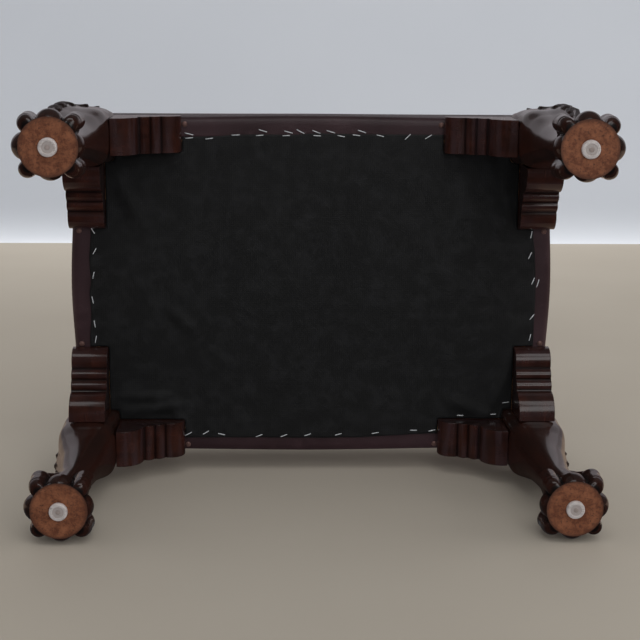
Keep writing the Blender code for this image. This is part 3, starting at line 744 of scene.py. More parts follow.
@dataclass(frozen=True)
class StudioPaper(Finish):
    """A paper sweep under and behind the ottoman, plain and matt, seen from its front only.

    Polished wood mirrors it in a darker colour: the studio is dim where the camera doesn't look.
    """

    pale: str = "#BFB6A8"
    shade: str = "#B3A99B"
    mirrored: str = "#AC9683"
    blotch: float = 400 * MM

    def paint(self, tree: NodeTree, shader: Node) -> None:
        """Builds faint blotches, and lets the back of the sheet be seen through.

        Args:
            tree: The material's tree.
            shader: Its Principled BSDF.
        """
        colour = self.laid(tree, self.pale, self.shade, self.speckled(tree, self.blotch, detail=3.0))
        path = add_node(tree, "ShaderNodeLightPath")
        colour = self.laid(tree, colour, self.mirrored, path.outputs["Is Glossy Ray"])
        set_inputs(tree, shader, {"Base Color": colour, "Roughness": 0.9})
        back = add_node(tree, "ShaderNodeNewGeometry").outputs["Backfacing"]
        clear = add_node(tree, "ShaderNodeBsdfTransparent")
        shown = add_node(tree, "ShaderNodeMixShader",
                         {0: back, 1: shader.outputs[0], 2: clear.outputs[0]})
        tree.links.new(shown.outputs[0], tree.nodes["Material Output"].inputs["Surface"])


LEG_POLISH = PolishedMahogany("french_polished_mahogany_leg", Grain.Z, "#25140F", "#140A09", "#311811")
CARVED_POLISH = PolishedMahogany(
    "waxed_mahogany_carving", Grain.Z, "#1C0F0C", "#100807", "#26130E", film=0.06, gloss=0.4, shine=0.15)
LONG_BRACKET_POLISH = PolishedMahogany(
    "french_polished_mahogany_long", Grain.X, "#27130F", planed=Grain.Y, bloom_share=0.75)
SHORT_BRACKET_POLISH = PolishedMahogany(
    "french_polished_mahogany_short", Grain.Y, "#27130F", planed=Grain.X, bloom_share=0.45)
FOOT_END_GRAIN = BareEndGrain("sawn_mahogany_end_grain")
HIDE = PlumHide("pigmented_plum_cowhide")
CAMBRIC = Weave("black_cotton_cambric")
WEBBING = Weave("woven_jute_webbing", "#8A6C45", "#4E3A22", "#A98A5E", pitch=3 * MM, uneven=40 * MM,
                relief=0.5 * MM, roughness=0.9, sheen=0.05, lustre=0.25)
HESSIAN = Weave("open_jute_hessian", "#9C7F55", "#5A4529", "#B59A70", pitch=2.2 * MM, uneven=30 * MM,
                relief=0.4 * MM, roughness=0.9, sheen=0.05, lustre=0.25)
COTTON = Stuffing("felted_cotton_wadding", "#E9E6DD", "#CFCABD", cell=3 * MM, relief=0.6 * MM)
FOAM = Stuffing("open_cell_seat_foam")
NYLON = MouldedNylon("moulded_white_nylon")
LACQUER = MouldedNylon("white_lacquered_nail", "#978A84", "#74685F")
STAPLE_WIRE = Metal("galvanised_staple_wire", "#D2D4D6", "#AEB0B3", mark=1.0 * MM, roughness=0.4,
                    metallic=0.3)
ZINC_STEEL = Metal("zinc_plated_steel", "#B8BABC", "#85878A", mark=1.5 * MM, roughness=0.32)
TONED_BRONZE = Metal("toned_bronze", "#84655E", "#4A3733", roughness=0.35, metallic=0.5)
RAIL_BEECH = PlanedBeech("planed_beech_long", Grain.X)
END_RAIL_BEECH = PlanedBeech("planed_beech_short", Grain.Y)
STUDIO_FLOOR = StudioPaper("warm_grey_studio_paper")
# its dark mirrored colour is a painted shadow: the polish mirrors the floor under the seat dark
STUDIO_SHADE = StudioPaper("warm_grey_shaded_paper", mirrored="#4E443C")
STUDIO_WALL = StudioPaper("cool_grey_studio_paper", "#EFF2F7", "#E8EBF1", mirrored="#D8D2D6")
STUDIO_LOW_WALL = StudioPaper("cool_grey_low_paper", "#EFF2F7", "#E8EBF1", mirrored="#A89FA1")


@dataclass(frozen=True)
class Places:
    """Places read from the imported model, in metres, for the back right corner."""

    half_length: float
    half_width: float
    underside: float
    band_top: float
    welt_height: float
    welt_radius: float
    crown_height: float
    foot: Pair
    foot_cut: float
    leg_top: float
    leg_inner: Pair

    @classmethod
    def read(cls) -> "Places":
        """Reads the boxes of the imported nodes.

        Returns:
            The places.
        """
        welt_low, welt_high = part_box("top_welt")
        band_low, band_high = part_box("leather_boxing")
        leg_low, leg_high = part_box("leg_back_right")
        glide_low, glide_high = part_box("glide_back_right")
        foot = (glide_low + glide_high) / 2
        return cls(
            half_length=welt_high.x, half_width=welt_high.y, underside=band_low.z, band_top=band_high.z,
            welt_height=(welt_low.z + welt_high.z) / 2, welt_radius=(welt_high.z - welt_low.z) / 2,
            crown_height=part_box("leather_top")[1].z, foot=(foot.x, foot.y), foot_cut=leg_low.z,
            leg_top=leg_high.z, leg_inner=(leg_low.x, leg_low.y))


@dataclass(frozen=True)
class LeafLobe:
    """One lobe of the carved leaf: where it leaves the midrib, where its tip lies, and its half width."""

    root: float
    tip_across: float
    tip_down: float
    width: float


@dataclass(frozen=True)
class AcanthusLeaf:
    """The leaf carved on a knee: a midrib down the outer corner, with lobes that droop to both sides."""

    lobes: tuple[LeafLobe, ...] = (
        LeafLobe(2 * MM, 52 * MM, 10 * MM, 5.5 * MM),
        LeafLobe(8 * MM, 54 * MM, 27 * MM, 6.5 * MM),
        LeafLobe(18 * MM, 44 * MM, 43 * MM, 7.0 * MM),
        LeafLobe(32 * MM, 30 * MM, 62 * MM, 7.0 * MM),
        LeafLobe(50 * MM, 20 * MM, 80 * MM, 6.0 * MM),
        LeafLobe(68 * MM, 13 * MM, 98 * MM, 5.0 * MM),
        LeafLobe(86 * MM, 9 * MM, 114 * MM, 4.2 * MM),
        LeafLobe(102 * MM, 6 * MM, 130 * MM, 3.5 * MM),
    )
    rise: float = 2.6 * MM
    tip_curl: float = 0.8 * MM
    flute: float = 1.0 * MM
    full_width: float = 7 * MM
    flutes: int = 3
    rib_rise: float = 2.0 * MM
    rib_width: float = 2.6 * MM
    rib_length: float = 140 * MM
    rib_start: float = 6 * MM
    rib_fade: float = 0.85  # where along its length the midrib starts to run out
    quirk: float = 0.9 * MM  # groove on each side of the midrib
    quirk_place: Pair = (1.9, 0.5)  # how far out it lies and its half width, by the midrib's width
    spine_steps: int = 40
    fullest: float = 0.4  # where along its length a lobe is widest
    bend: Pair = (0.72, 0.1)  # where its spine bends, as shares of its way across and down
    scallop: float = 0.12
    scallops: float = 3.5
    root_rise: float = 0.55
    curl_start: float = 0.6
    thinnest: float = 0.2 * MM

    def lobe_relief(self, lobe: LeafLobe, across: Array, down: Array) -> Array:
        """Height of one lobe over the plain knee.

        Args:
            lobe: The lobe.
            across: Distances from the midrib along the surface.
            down: Distances below the top of the leg.

        Returns:
            Heights, 0 outside the lobe.
        """
        t = np.linspace(0, 1, self.spine_steps)
        bend_across = self.bend[0] * lobe.tip_across
        bend_down = lobe.root + self.bend[1] * (lobe.tip_down - lobe.root)
        spine_across = 2 * (1 - t) * t * bend_across + t * t * lobe.tip_across
        spine_down = (1 - t) ** 2 * lobe.root + 2 * (1 - t) * t * bend_down + t * t * lobe.tip_down
        gap = np.hypot(across[..., None] - spine_across, down[..., None] - spine_down)
        k = gap.argmin(axis=-1)
        along, turn_across, turn_down = t[k], np.gradient(spine_across)[k], np.gradient(spine_down)[k]
        side = np.sign(turn_across * (down - spine_down[k]) - turn_down * (across - spine_across[k]))
        swell = np.sqrt(np.minimum(along / self.fullest, 1.0))
        past = np.maximum(along - self.fullest, 0) / (1 - self.fullest)
        taper = np.sqrt(np.maximum(1 - past ** 2, 0.0))
        scallop = 1 + self.scallop * np.abs(np.sin(self.scallops * pi * along))
        half = np.maximum(lobe.width * swell * taper * scallop, self.thinnest)
        share = side * gap.min(axis=-1) / half
        inside = np.abs(share) < 1
        dome = np.sqrt(np.maximum(1 - share ** 2, 0.0))
        grooves = self.flute * (1 + np.cos(self.flutes * pi * share)) / 2
        level = self.root_rise + (1 - self.root_rise) * along
        body = level * self.rise + self.tip_curl * ease(along, self.curl_start, 1.0)
        body = body * min(lobe.width / self.full_width, 1.0)
        return np.where(inside, np.maximum(body * dome - grooves * dome, 0.0), 0.0)

    def relief(self, across: Array, down: Array) -> Array:
        """Height of the whole leaf over the plain knee.

        Args:
            across: Signed distances from the leg's outer corner along the surface.
            down: Distances below the top of the leg.

        Returns:
            Heights in metres.
        """
        away = np.abs(across)
        height = np.zeros(across.shape)
        for lobe in self.lobes:
            height = np.maximum(height, self.lobe_relief(lobe, away, down))
        fade = ease(down, self.rib_fade * self.rib_length, self.rib_length)
        reach = ease(down, 0.0, self.rib_start) * (1 - fade)
        rib = self.rib_rise * np.exp(-(across / self.rib_width) ** 2) * reach
        out, half = self.quirk_place
        beside = (away - out * self.rib_width) / (half * self.rib_width)
        return np.maximum(height - self.quirk * np.exp(-beside ** 2) * reach, rib)


@dataclass(frozen=True)
class LegLevel:
    """A level of the leg: its faces out and in from the foot's middle, corner ridge and squareness."""

    height: float
    outer: float
    inner: float
    ridge: float
    squareness: float


@dataclass(frozen=True)
class TalonLevel:
    """A level of a talon, in mm: height, how far it reaches from the leg's middle, and its half width."""

    height: float
    reach: float
    half_width: float


@dataclass
class CarvedLegs:
    """Four cabriole legs: a leaf on the knee, a slim ankle, and talons that grip a ball."""

    places: Places
    leaf: AcanthusLeaf = AcanthusLeaf()
    ridge_half_angle: float = radians(50)
    dense_half_angle: float = radians(75)
    dense_columns: int = 150
    plain_columns: int = 122
    ball_radius: float = 41.5 * MM
    ball_rise: float = 16.7 * MM
    ball_least: float = 10 * MM
    cut_radius: float = 32.4 * MM
    ball_lobe: float = 0.38  # half width of the ball that shows between two talons, by its radius
    ball_facing: float = 0.7  # cosine of the half angle that it takes up
    ball_front: float = 1.5 * MM  # the ball is carved flatter toward the long side of the ottoman
    ball_back: float = 4 * MM  # and flattest toward its middle
    core_cut: float = 1.5 * MM
    web_low: float = 39.5 * MM
    web_high: float = 47.5 * MM
    web_edge: float = 2.0 * MM
    nail_top: float = 18.5 * MM
    nail_crease: float = 0.6 * MM
    rim_break: float = 0.5 * MM
    nail_hole: float = 1.6 * MM
    nail_depth: float = 14.3 * MM
    bolt_inset: float = 40 * MM
    bolt_hole: float = 4.3 * MM
    bolt_depth: float = 40.3 * MM
    hollow_depth: float = 0.9 * MM
    foot_step: float = 0.8 * MM
    foot_top: float = 80 * MM
    ankle_step: float = 2.0 * MM
    knee_low: float = 140 * MM
    knee_rows: int = 160
    leaf_low: float = 125 * MM
    leaf_edge: float = 0.3 * MM
    leaf_share: float = 0.98  # share of the dense columns that the leaf may take up
    core_share: float = 0.86  # least radius between the talons, by the ball's
    core_slope: float = 10 * MM
    web_arch: Pair = (radians(14), radians(45))
    crease_width: float = 1.2 * MM
    claw_fade: Pair = (70 * MM, 96 * MM)  # the claw runs out into the ankle between these heights
    disc_rings: tuple[float, ...] = (8 * MM, 14 * MM, 20 * MM, 25 * MM, 29 * MM)
    stain_start: float = 28 * MM
    talons: tuple[TalonLevel, ...] = (
        TalonLevel(5.3, 34.2, 6.4), TalonLevel(8.0, 39.6, 8.0), TalonLevel(12.0, 42.6, 9.1),
        TalonLevel(18.0, 44.5, 9.8), TalonLevel(26.0, 45.4, 10.1), TalonLevel(34.0, 45.2, 9.9),
        TalonLevel(43.0, 46.2, 10.3), TalonLevel(54.0, 38.5, 9.2), TalonLevel(67.0, 28.6, 7.8),
        TalonLevel(92.0, 19.6, 6.0),
    )

    def levels(self) -> list[LegLevel]:
        """Sets out the leg without its talons and carving.

        Returns:
            Its levels, from the foot up.
        """
        top = self.places.leg_top
        outer = self.places.half_length - self.places.foot[0]
        inner = self.places.leg_inner[0] - self.places.foot[0]
        round_section = 2.0

        def foot(height: float, radius: float, set_back: float = 0.0) -> LegLevel:
            """A round level of the foot or ankle."""
            return LegLevel(height, radius - set_back, -radius - set_back, 0.0, round_section)

        return [
            foot(self.places.foot_cut, 31 * MM),
            foot(40 * MM, 31 * MM),
            foot(47 * MM, 28.2 * MM),
            foot(54 * MM, 25.5 * MM),
            foot(67 * MM, 23.3 * MM, 2.8 * MM),
            foot(92 * MM, 20 * MM, 6.5 * MM),
            LegLevel(149.8 * MM, outer + 4 * MM, inner + 10.5 * MM, 6 * MM, 2.3),
            LegLevel(189.7 * MM, outer + 11 * MM, inner + 5 * MM, 8 * MM, 2.9),
            LegLevel(220.7 * MM, outer + 16 * MM, inner, 8 * MM, 3.6),
            LegLevel(top - 44 * MM, outer + 16 * MM, inner, 8 * MM, 3.7),
            LegLevel(top, outer + 8 * MM, inner, 5 * MM, 9.0),
        ]

    def heights(self) -> Array:
        """Spaces the rings: close on the foot and the carved knee, wider on the ankle.

        Returns:
            Their heights.
        """
        foot = np.arange(self.places.foot_cut + self.rim_break, self.foot_top, self.foot_step)
        ankle = np.arange(self.foot_top, self.knee_low, self.ankle_step)
        knee = np.linspace(self.knee_low, self.places.leg_top, self.knee_rows)
        return np.concatenate([foot, ankle, knee])

    def offsets(self) -> Array:
        """Spaces the columns, closest round the leg's outer corner.

        Returns:
            Their angles from that corner.
        """
        dense = self.dense_half_angle
        carved = np.linspace(-dense, dense, self.dense_columns, endpoint=False)
        plain = np.linspace(dense, 2 * pi - dense, self.plain_columns, endpoint=False)
        return np.concatenate([carved, plain])

    def foot_radius(self, height: Array, offset: Array, shank: Array) -> Array:
        """Radius of the foot: the ball below, the web of the claw above it, and four talons over both.

        Args:
            height: Heights of the points.
            offset: Their angles from the leg's outer corner.
            shank: Radius of the plain leg there.

        Returns:
            Radii of the carved foot.
        """
        from_talon = np.abs((offset + pi / 4) % (pi / 2) - pi / 4)
        cut = self.places.foot_cut
        share = (height - cut - self.ball_rise) / self.ball_rise
        flat = self.ball_radius ** 2 - self.cut_radius ** 2
        ball = np.sqrt(np.maximum(self.ball_radius ** 2 - flat * share ** 2, self.ball_least ** 2))
        side, front = np.cos(offset + pi / 4), np.sin(offset + pi / 4)
        inward = np.where(np.minimum(side, front) < -self.ball_facing, self.ball_back, 0.0)
        flatter = np.where(front > self.ball_facing, self.ball_front, inward)
        lobe = ball * self.ball_lobe
        bulge = round_reach(ball * (1 - self.ball_lobe) - flatter, lobe, pi / 4 - from_talon)
        low_core = self.cut_radius - self.core_cut
        core = self.cut_radius - self.core_cut * ease(height, cut, cut + self.core_slope)
        core = np.minimum(core, self.core_share * ball)
        core = np.where(height < cut + self.ball_rise, np.maximum(core, low_core), core)
        web = self.web_low + (self.web_high - self.web_low) * ease(from_talon, *self.web_arch)
        covered = ease(height - web, 0.0, self.web_edge)
        base = np.maximum(bulge, core) * (1 - covered) + shank * covered
        table = np.array([(t.height, t.reach, t.half_width) for t in self.talons]).T * MM
        reach, half = (smooth_through(table[0], values, height) for values in table[1:])
        reach = reach - self.nail_crease * np.exp(-((height - self.nail_top) / self.crease_width) ** 2)
        carved = np.maximum(base, round_reach(reach - half, half, from_talon))
        return carved + (shank - carved) * ease(height, *self.claw_fade)

    def surface(self) -> tuple[Array, Array, Array]:
        """The carved surface of the back right leg about the middle of its foot.

        Returns:
            Points by row and column, and from 0 to 1 how deep each lies in a hollow and how much of the leaf
            is about it.
        """
        levels = self.levels()
        rows = self.heights()
        height, offset = np.meshgrid(rows, self.offsets(), indexing="ij")
        places = [level.height for level in levels]

        def read(name: str) -> Array:
            """One column of the levels, read at every row."""
            return smooth_through(places, [getattr(level, name) for level in levels], rows)[:, None]

        outer, inner, squareness = read("outer"), read("inner"), read("squareness")
        middle, half = (outer + inner) / 2, (outer - inner) / 2
        direction = offset + pi / 4
        corner = np.abs(np.cos(direction)) ** squareness + np.abs(np.sin(direction)) ** squareness
        plain = half * corner ** (-1 / squareness)
        turned = np.abs((offset + pi) % (2 * pi) - pi)
        near = np.minimum(turned / self.ridge_half_angle, 1.0)
        plain = plain + read("ridge") * np.cos(pi / 2 * near) ** 2
        radius = np.where(height < self.claw_fade[1], self.foot_radius(height, offset, plain), plain)
        x, y = middle + plain * np.cos(direction), middle + plain * np.sin(direction)
        step = np.hypot(np.diff(x, axis=1), np.diff(y, axis=1))
        arc = np.concatenate([np.zeros((len(rows), 1)), np.cumsum(step, axis=1)], axis=1)
        arc = arc - arc[:, [self.dense_columns // 2]]
        outside = turned < self.dense_half_angle * self.leaf_share
        leaf = self.leaf.relief(np.where(outside, arc, 1.0), self.places.leg_top - height)
        leaf = np.where(outside & (height > self.leaf_low), leaf, 0.0)
        radius = radius + leaf
        # how deep each point lies in a hollow, which the polish darkens: partly wax, partly painted shade
        hollow = np.clip((self.blurred(radius - half, times=5) - radius + half) / self.hollow_depth, 0.0, 1.0)
        carved = self.blurred((leaf > self.leaf_edge).astype(float), times=4)
        x, y = middle + radius * np.cos(direction), middle + radius * np.sin(direction)
        return np.stack([x, y, height], -1), hollow, carved

    def blurred(self, values: Array, times: int) -> Array:
        """Evens values out with their neighbours.

        Args:
            values: Values by row and column.
            times: How many times they are evened out.

        Returns:
            The evened values.
        """
        for _ in range(times):
            padded = np.pad(values, ((1, 1), (0, 0)), mode="edge")
            values = (padded[:-2] + padded[1:-1] + padded[2:]) / 3
            values = (np.roll(values, 1, axis=1) + values + np.roll(values, -1, axis=1)) / 3
        return values

    def build(self) -> None:
        """Builds and dresses the four legs."""
        points, hollow, carved = self.surface()
        direction = self.offsets() + pi / 4
        unit = np.stack([np.cos(direction), np.sin(direction)], axis=-1)

        def ring(radius: float, height: float, centre: float = 0.0) -> Array:
            """A plain ring of the leg's columns."""
            return np.concatenate([centre + radius * unit, np.full((len(unit), 1), height)], axis=1)

        cut, top = self.places.foot_cut, self.places.leg_top
        under = [ring(self.nail_hole, cut + self.nail_depth)]
        disc = [self.nail_hole, *self.disc_rings, self.cut_radius]
        under += [ring(radius, cut) for radius in disc]
        bolt = self.places.half_length - self.bolt_inset - self.places.foot[0]
        over = [ring(self.bolt_hole, top, bolt), ring(self.bolt_hole, top - self.bolt_depth, bolt)]
        rows = np.concatenate([np.stack(under), points, np.stack(over)])
        count, columns = rows.shape[:2]
        end = np.arange(columns)
        faces = [*ring_faces(count, columns), end[::-1], end + (count - 1) * columns]
        patina_and_shade = np.zeros((count, columns))
        patina_and_shade[len(under):len(under) + len(points)] = hollow
        rim = ease(np.array([0.0, *disc]), self.stain_start, self.cut_radius)
        patina_and_shade[:len(under)] = rim[:, None]
        shown = np.zeros(len(faces), dtype=np.int32)
        bands = shown[:(count - 1) * columns].reshape(count - 1, columns)
        bands[1:len(disc)] = 1
        bands[len(under):len(under) + len(points)][carved > 0.5] = 2
        for corner in Corner:
            self.place(corner, rows, faces, patina_and_shade, shown)

    def place(self, corner: Corner, rows: Array, faces: list, patina_and_shade: Array, shown: Array) -> None:
        """Sets one leg at its corner.

        Args:
            corner: The corner.
            rows: Points of the back right leg about its foot's middle, by row and column.
            faces: The leg's faces.
            patina_and_shade: Hollows, by row and column.
            shown: Each face's material: polish, bare end grain or waxed carving.
        """
        across, along = corner.value
        points = rows.reshape(-1, 3) + np.array([*self.places.foot, 0.0])
        points = points * np.array([across, along, 1.0])
        if across * along < 0:
            faces = [face[::-1] for face in faces]
        finishes = (LEG_POLISH, FOOT_END_GRAIN, CARVED_POLISH)
        piece = new_piece(f"carved_leg_{corner.label}", points, faces, finishes, sharp=50)
        piece.data.polygons.foreach_set("material_index", shown)
        mark(piece, PATINA_AND_SHADE, patina_and_shade)
        fit(piece, "mahogany", f"leg_{corner.label}")


@dataclass
class FootGlides:
    """The nylon glides under the feet and the nails that hold them."""

    sides: int = 64
    edge_round: float = 2.2 * MM
    edge_steps: int = 6
    dish: float = 0.7 * MM
    dish_radius: float = 6.6 * MM
    dish_slope: float = 0.3 * MM
    dish_edge: float = 0.1 * MM
    head_dome: float = 0.25 * MM
    head_flat: float = 0.35  # by the head's radius
    head_turn: Pair = (0.75, 0.4)  # where its dome bends, by its radius and the dome's rise
    head_thick: float = 0.8 * MM
    shank: float = 1.3 * MM
    tip: float = 2 * MM
    tip_radius: float = 0.2 * MM
    recess: float = 1.4 * MM
    edge_cut: float = 0.4 * MM
    grime: float = 0.55

    def turned(self, name: str, profile: Sequence[Pair], centre: Vector, finish: Finish,
               closed: bool) -> Object:
        """Turns a profile about a vertical axis.

        Args:
            name: The piece's name.
            profile: (radius, height) points, anticlockwise with the axis on the left.
            centre: A point on the axis.
            finish: The piece's finish.
            closed: Whether the profile comes back to its start, as round a bore.

        Returns:
            The piece.
        """
        angle = np.linspace(0, 2 * pi, self.sides, endpoint=False)
        circle = np.stack([np.cos(angle), np.sin(angle), np.zeros(self.sides)], -1)
        axis = np.array([centre.x, centre.y, 0.0])
        rows = [axis + r * circle + np.array([0.0, 0.0, z]) for r, z in profile]
        last = (len(rows) - 1) * self.sides
        here = np.arange(self.sides)
        after = (here + 1) % self.sides
        ends = np.stack([last + here, last + after, after, here], -1) if closed else (here[::-1], last + here)
        faces = [*ring_faces(len(rows), self.sides), *ends]
        piece = new_piece(name, np.concatenate(rows), faces, (finish,), sharp=35)
        face_outwards(piece)
        return piece

    def build(self) -> None:
        """Builds and dresses the glides and nails."""
        for corner in Corner:
            low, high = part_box(f"glide_{corner.label}")
            pin_low, pin_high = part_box(f"glide_nail_{corner.label}")
            centre, radius = (low + high) / 2, (high.x - low.x) / 2
            head, bore, cut = (pin_high.x - pin_low.x) / 2, self.shank + FIT, self.edge_cut
            arc = [radians(90 * k / self.edge_steps) for k in range(self.edge_steps + 1)]
            edge = [(radius - self.edge_round * (1 - sin(a)), self.edge_round * (1 - cos(a)))
                    for a in arc]
            profile = [(bore, high.z), (bore, self.recess), (head + FIT, self.recess),
                       (head + FIT, self.dish), (self.dish_radius - self.dish_slope, self.dish),
                       (self.dish_radius, self.dish_edge), (self.dish_radius + cut, 0.0)]
            profile += [*edge, (radius, high.z - cut), (radius - cut, high.z)]
            glide = self.turned(f"glide_disc_{corner.label}", profile, centre, NYLON, closed=True)
            grime = [self.grime if r < self.dish_radius else 0.0 for r, _ in profile]
            mark(glide, PATINA_AND_SHADE, np.repeat(grime, self.sides))
            fit(glide, "nylon", f"glide_{corner.label}")
            low, under = pin_low.z, pin_low.z + self.head_thick
            out, up = self.head_turn
            dome = [(self.head_flat * head, low), (out * head, low + up * self.head_dome),
                    (head, low + self.head_dome), (head, under), (self.shank, under),
                    (self.shank, pin_high.z - self.tip), (self.tip_radius, pin_high.z)]
            pin = self.turned(f"glide_pin_{corner.label}", dome, centre, LACQUER, closed=False)
            fit(pin, "steel", f"glide_nail_{corner.label}")


@dataclass
class MouldedBrackets:
    """The moulded brackets beside the legs: a lobe at the free end, two beads, and a lobe by the leg."""

    lip: float = 5 * MM
    end_round: float = 17 * MM
    end_length: float = 23.5 * MM
    end_depth: float = 24 * MM
    bead_length: float = 13 * MM
    bead_step: float = 6 * MM
    bead_bulge: float = 2.8 * MM
    beads: int = 2
    leg_flat: float = 6.0 * MM
    length: float = 83 * MM
    steps: int = 16
    edge_break: float = 1.1 * MM
    # how dark the quirks between the beads are: partly wax, partly painted shade
    stain: float = 0.85
    quirk_wax_and_shade_reach: float = 1.6 * MM

    def lobe(self, start: Pair, end: Pair) -> Array:
        """Draws a quarter round.

        Args:
            start: Its first (distance, depth) point.
            end: Its last one.

        Returns:
            All its points.
        """
        angle = np.linspace(0, pi / 2, self.steps + 1)[:, None]
        share = np.concatenate([1 - np.cos(angle), np.sin(angle)], axis=1)
        return start + np.subtract(end, start) * share

    def bead(self, start: Pair, end: Pair, bulge: float) -> Array:
        """Draws a shallow round.

        Args:
            start: Its first (distance, depth) point.
            end: Its last one.
            bulge: How far it stands out.

        Returns:
            All its points.
        """
        share = np.linspace(0, 1, self.steps + 1)[:, None]
        points = start + np.subtract(end, start) * share
        points[:, 1] += bulge * np.sin(pi * share[:, 0])
        return points

    def profile(self, depth: float) -> Array:
        """The moulded lower edge.

        Args:
            depth: Depth of the bracket beside the leg.

        Returns:
            (distance from the free end, depth) points from the top of the free end to the leg.
        """
        quirk = self.bead_bulge / 2
        points = [(0.0, 0.0), *self.lobe((0.0, self.lip), (self.end_round, self.end_depth))]
        at, down = self.end_length, self.end_depth
        points.append((at - quirk, down))
        for _ in range(self.beads):
            end = (at + self.bead_length, down + self.bead_step)
            points += [*self.bead((at, down - quirk), (end[0], end[1] - quirk), self.bead_bulge + quirk)]
            at, down = end
        points += [*self.lobe((at + quirk, down), (self.length - self.leg_flat, depth))]
        return np.array([*points, (self.length, depth), (self.length, 0.0)])

    def build(self) -> None:
        """Builds and dresses the eight brackets."""
        for corner in Corner:
            for kind, axis, finish in (("long", 0, LONG_BRACKET_POLISH), ("short", 1, SHORT_BRACKET_POLISH)):
                node = f"{kind}_bracket_{corner.label}"
                self.bracket(node, axis, corner.value[axis], finish)

    def bracket(self, node: str, axis: int, sign: int, finish: Finish) -> None:
        """Builds one bracket in the place of its node.

        Args:
            node: The node.
            axis: The axis that the bracket runs along: 0 for X, 1 for Y.
            sign: Which way along that axis the leg lies.
            finish: The bracket's finish.
        """
        low, high = (np.array(end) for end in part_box(node))
        other = 1 - axis
        free = low[axis] if sign > 0 else high[axis]
        outline = self.profile(high[2] - low[2])
        count = len(outline)
        points = np.empty((2, count, 3))
        points[..., axis] = free + sign * outline[:, 0]
        points[..., other] = np.array([[low[other]], [high[other]]])
        points[..., 2] = high[2] - outline[:, 1]
        faces = [list(range(count)), list(range(count, 2 * count))[::-1]]
        faces += [[k, k + count, (k + 1) % count + count, (k + 1) % count] for k in range(count)]
        piece = new_piece(f"moulded_{node}", points.reshape(-1, 3), faces, (finish,), sharp=40)
        face_outwards(piece)
        # the quirks between the beads take the polish's dark hollow colour: partly wax, partly painted shade
        quirks = self.end_length + self.bead_length * np.arange(self.beads + 1)
        gap = np.abs(outline[:, :1] - quirks).min(axis=1)
        mark(piece, PATINA_AND_SHADE, np.tile(self.stain * np.exp(-(gap / self.quirk_wax_and_shade_reach) ** 2), 2))
        modify(piece, "edge_break", "BEVEL", width=self.edge_break, segments=3, angle_limit=radians(40),
               harden_normals=True)
        fit(piece, "mahogany", node)


@dataclass
class SeatOutline:
    """The seat in plan, a rectangle with round corners, and the crown of its top."""

    places: Places
    cells_along: int = 100
    cells_across: int = 71
    corner_radius: float = 22 * MM
    least_radius: float = 2 * MM
    lean: float = 3.5 * MM  # the sides lean in toward the welt
    top_inset: float = 10.7 * MM
    crown_along: float = 4.0
    crown_across: float = 2.6
    crown_shoulder: float = 0.8

    def plan(self, u: Array, v: Array, inset: float) -> Array:
        """Points in plan of a square's points, on the seat's outline drawn in by an inset.

        Args:
            u: Places along the seat, from -1 to 1.
            v: Places across it.
            inset: How far the outline is drawn in.

        Returns:
            X and Y of each point.
        """
        half = np.array([self.places.half_length - inset, self.places.half_width - inset])
        radius = max(self.corner_radius - inset, self.least_radius)
        flat = np.stack([u, v], axis=-1) * half
        past = np.maximum(np.abs(flat) - (half - radius), 0.0) / radius
        rounded = past * np.sqrt(1 - past[..., ::-1] ** 2 / 2)
        return np.sign(flat) * (np.minimum(np.abs(flat), half - radius) + radius * rounded)

    def edge(self) -> tuple[Array, Array]:
        """Goes round the edge of the square, anticlockwise from its front left corner.

        Returns:
            Places along the seat and across it, from -1 to 1.
        """
        along = np.linspace(-1, 1, self.cells_along, endpoint=False)
        across = np.linspace(-1, 1, self.cells_across, endpoint=False)
        u = np.concatenate([along, np.ones(self.cells_across), -along, -np.ones(self.cells_across)])
        v = np.concatenate([-np.ones(self.cells_along), across, np.ones(self.cells_along), -across])
        return u, v

    def crown(self, plan: Array) -> Array:
        """Reads the crowned top.

        Args:
            plan: X and Y of points.

        Returns:
            The top's height there.
        """
        half = np.array([self.places.half_length - self.top_inset, self.places.half_width - self.top_inset])
        share = np.clip(np.abs(plan) / half, 0.0, 1.0)
        level = (1 - share[..., 0] ** self.crown_along) * (1 - share[..., 1] ** self.crown_across)
        rise = self.places.crown_height - self.places.welt_height
        return self.places.welt_height + rise * level ** self.crown_shoulder

    def band(self, profile: Sequence[Pair]) -> Array:
        """Rows of points round the seat.

        Args:
            profile: (inset, height) of each row.

        Returns:
            Points by row and column.
        """
        u, v = self.edge()
        return np.stack([np.column_stack([self.plan(u, v, inset), np.full(len(u), height)])
                         for inset, height in profile])

    def top(self, inset: float, drop: float = 0.0) -> tuple[Array, Array, Array]:
        """The crowned top as a grid.

        Args:
            inset: How far its edge is drawn in.
            drop: How far it lies under the crown.

        Returns:
            Its points, its faces, and the indices of its edge points in the order of a band's columns.
        """
        u, v = np.meshgrid(np.linspace(-1, 1, self.cells_along + 1),
                           np.linspace(-1, 1, self.cells_across + 1), indexing="ij")
        flat = self.plan(u, v, inset).reshape(-1, 2)
        points = np.concatenate([flat, self.crown(flat)[:, None] - drop], axis=1)
        index = np.arange(len(points)).reshape(u.shape)
        rim = np.concatenate([index[:-1, 0], index[-1, :-1], index[:0:-1, -1], index[0, :0:-1]])
        return points, grid_faces(*u.shape), rim

    def shell(self, profile: Sequence[Pair], inset: float, drop: float) -> tuple[Array, list]:
        """A band of rows closed by a crowned top.

        Args:
            profile: (inset, height) of the band's rows, from the lowest up.
            inset: How far the top's edge is drawn in.
            drop: How far the top lies under the crown.

        Returns:
            Points and faces.
        """
        band = self.band(profile)
        rows, columns = band.shape[:2]
        top, top_faces, rim = self.top(inset, drop)
        last, first = (rows - 1) * columns, rows * columns
        here, after = np.arange(columns), np.roll(np.arange(columns), -1)
        joint = np.stack([last + here, last + after, first + rim[after], first + rim[here]], axis=-1)
        faces = [*ring_faces(rows, columns), *joint, *(top_faces + first)]
        return np.concatenate([band.reshape(-1, 3), top]), faces


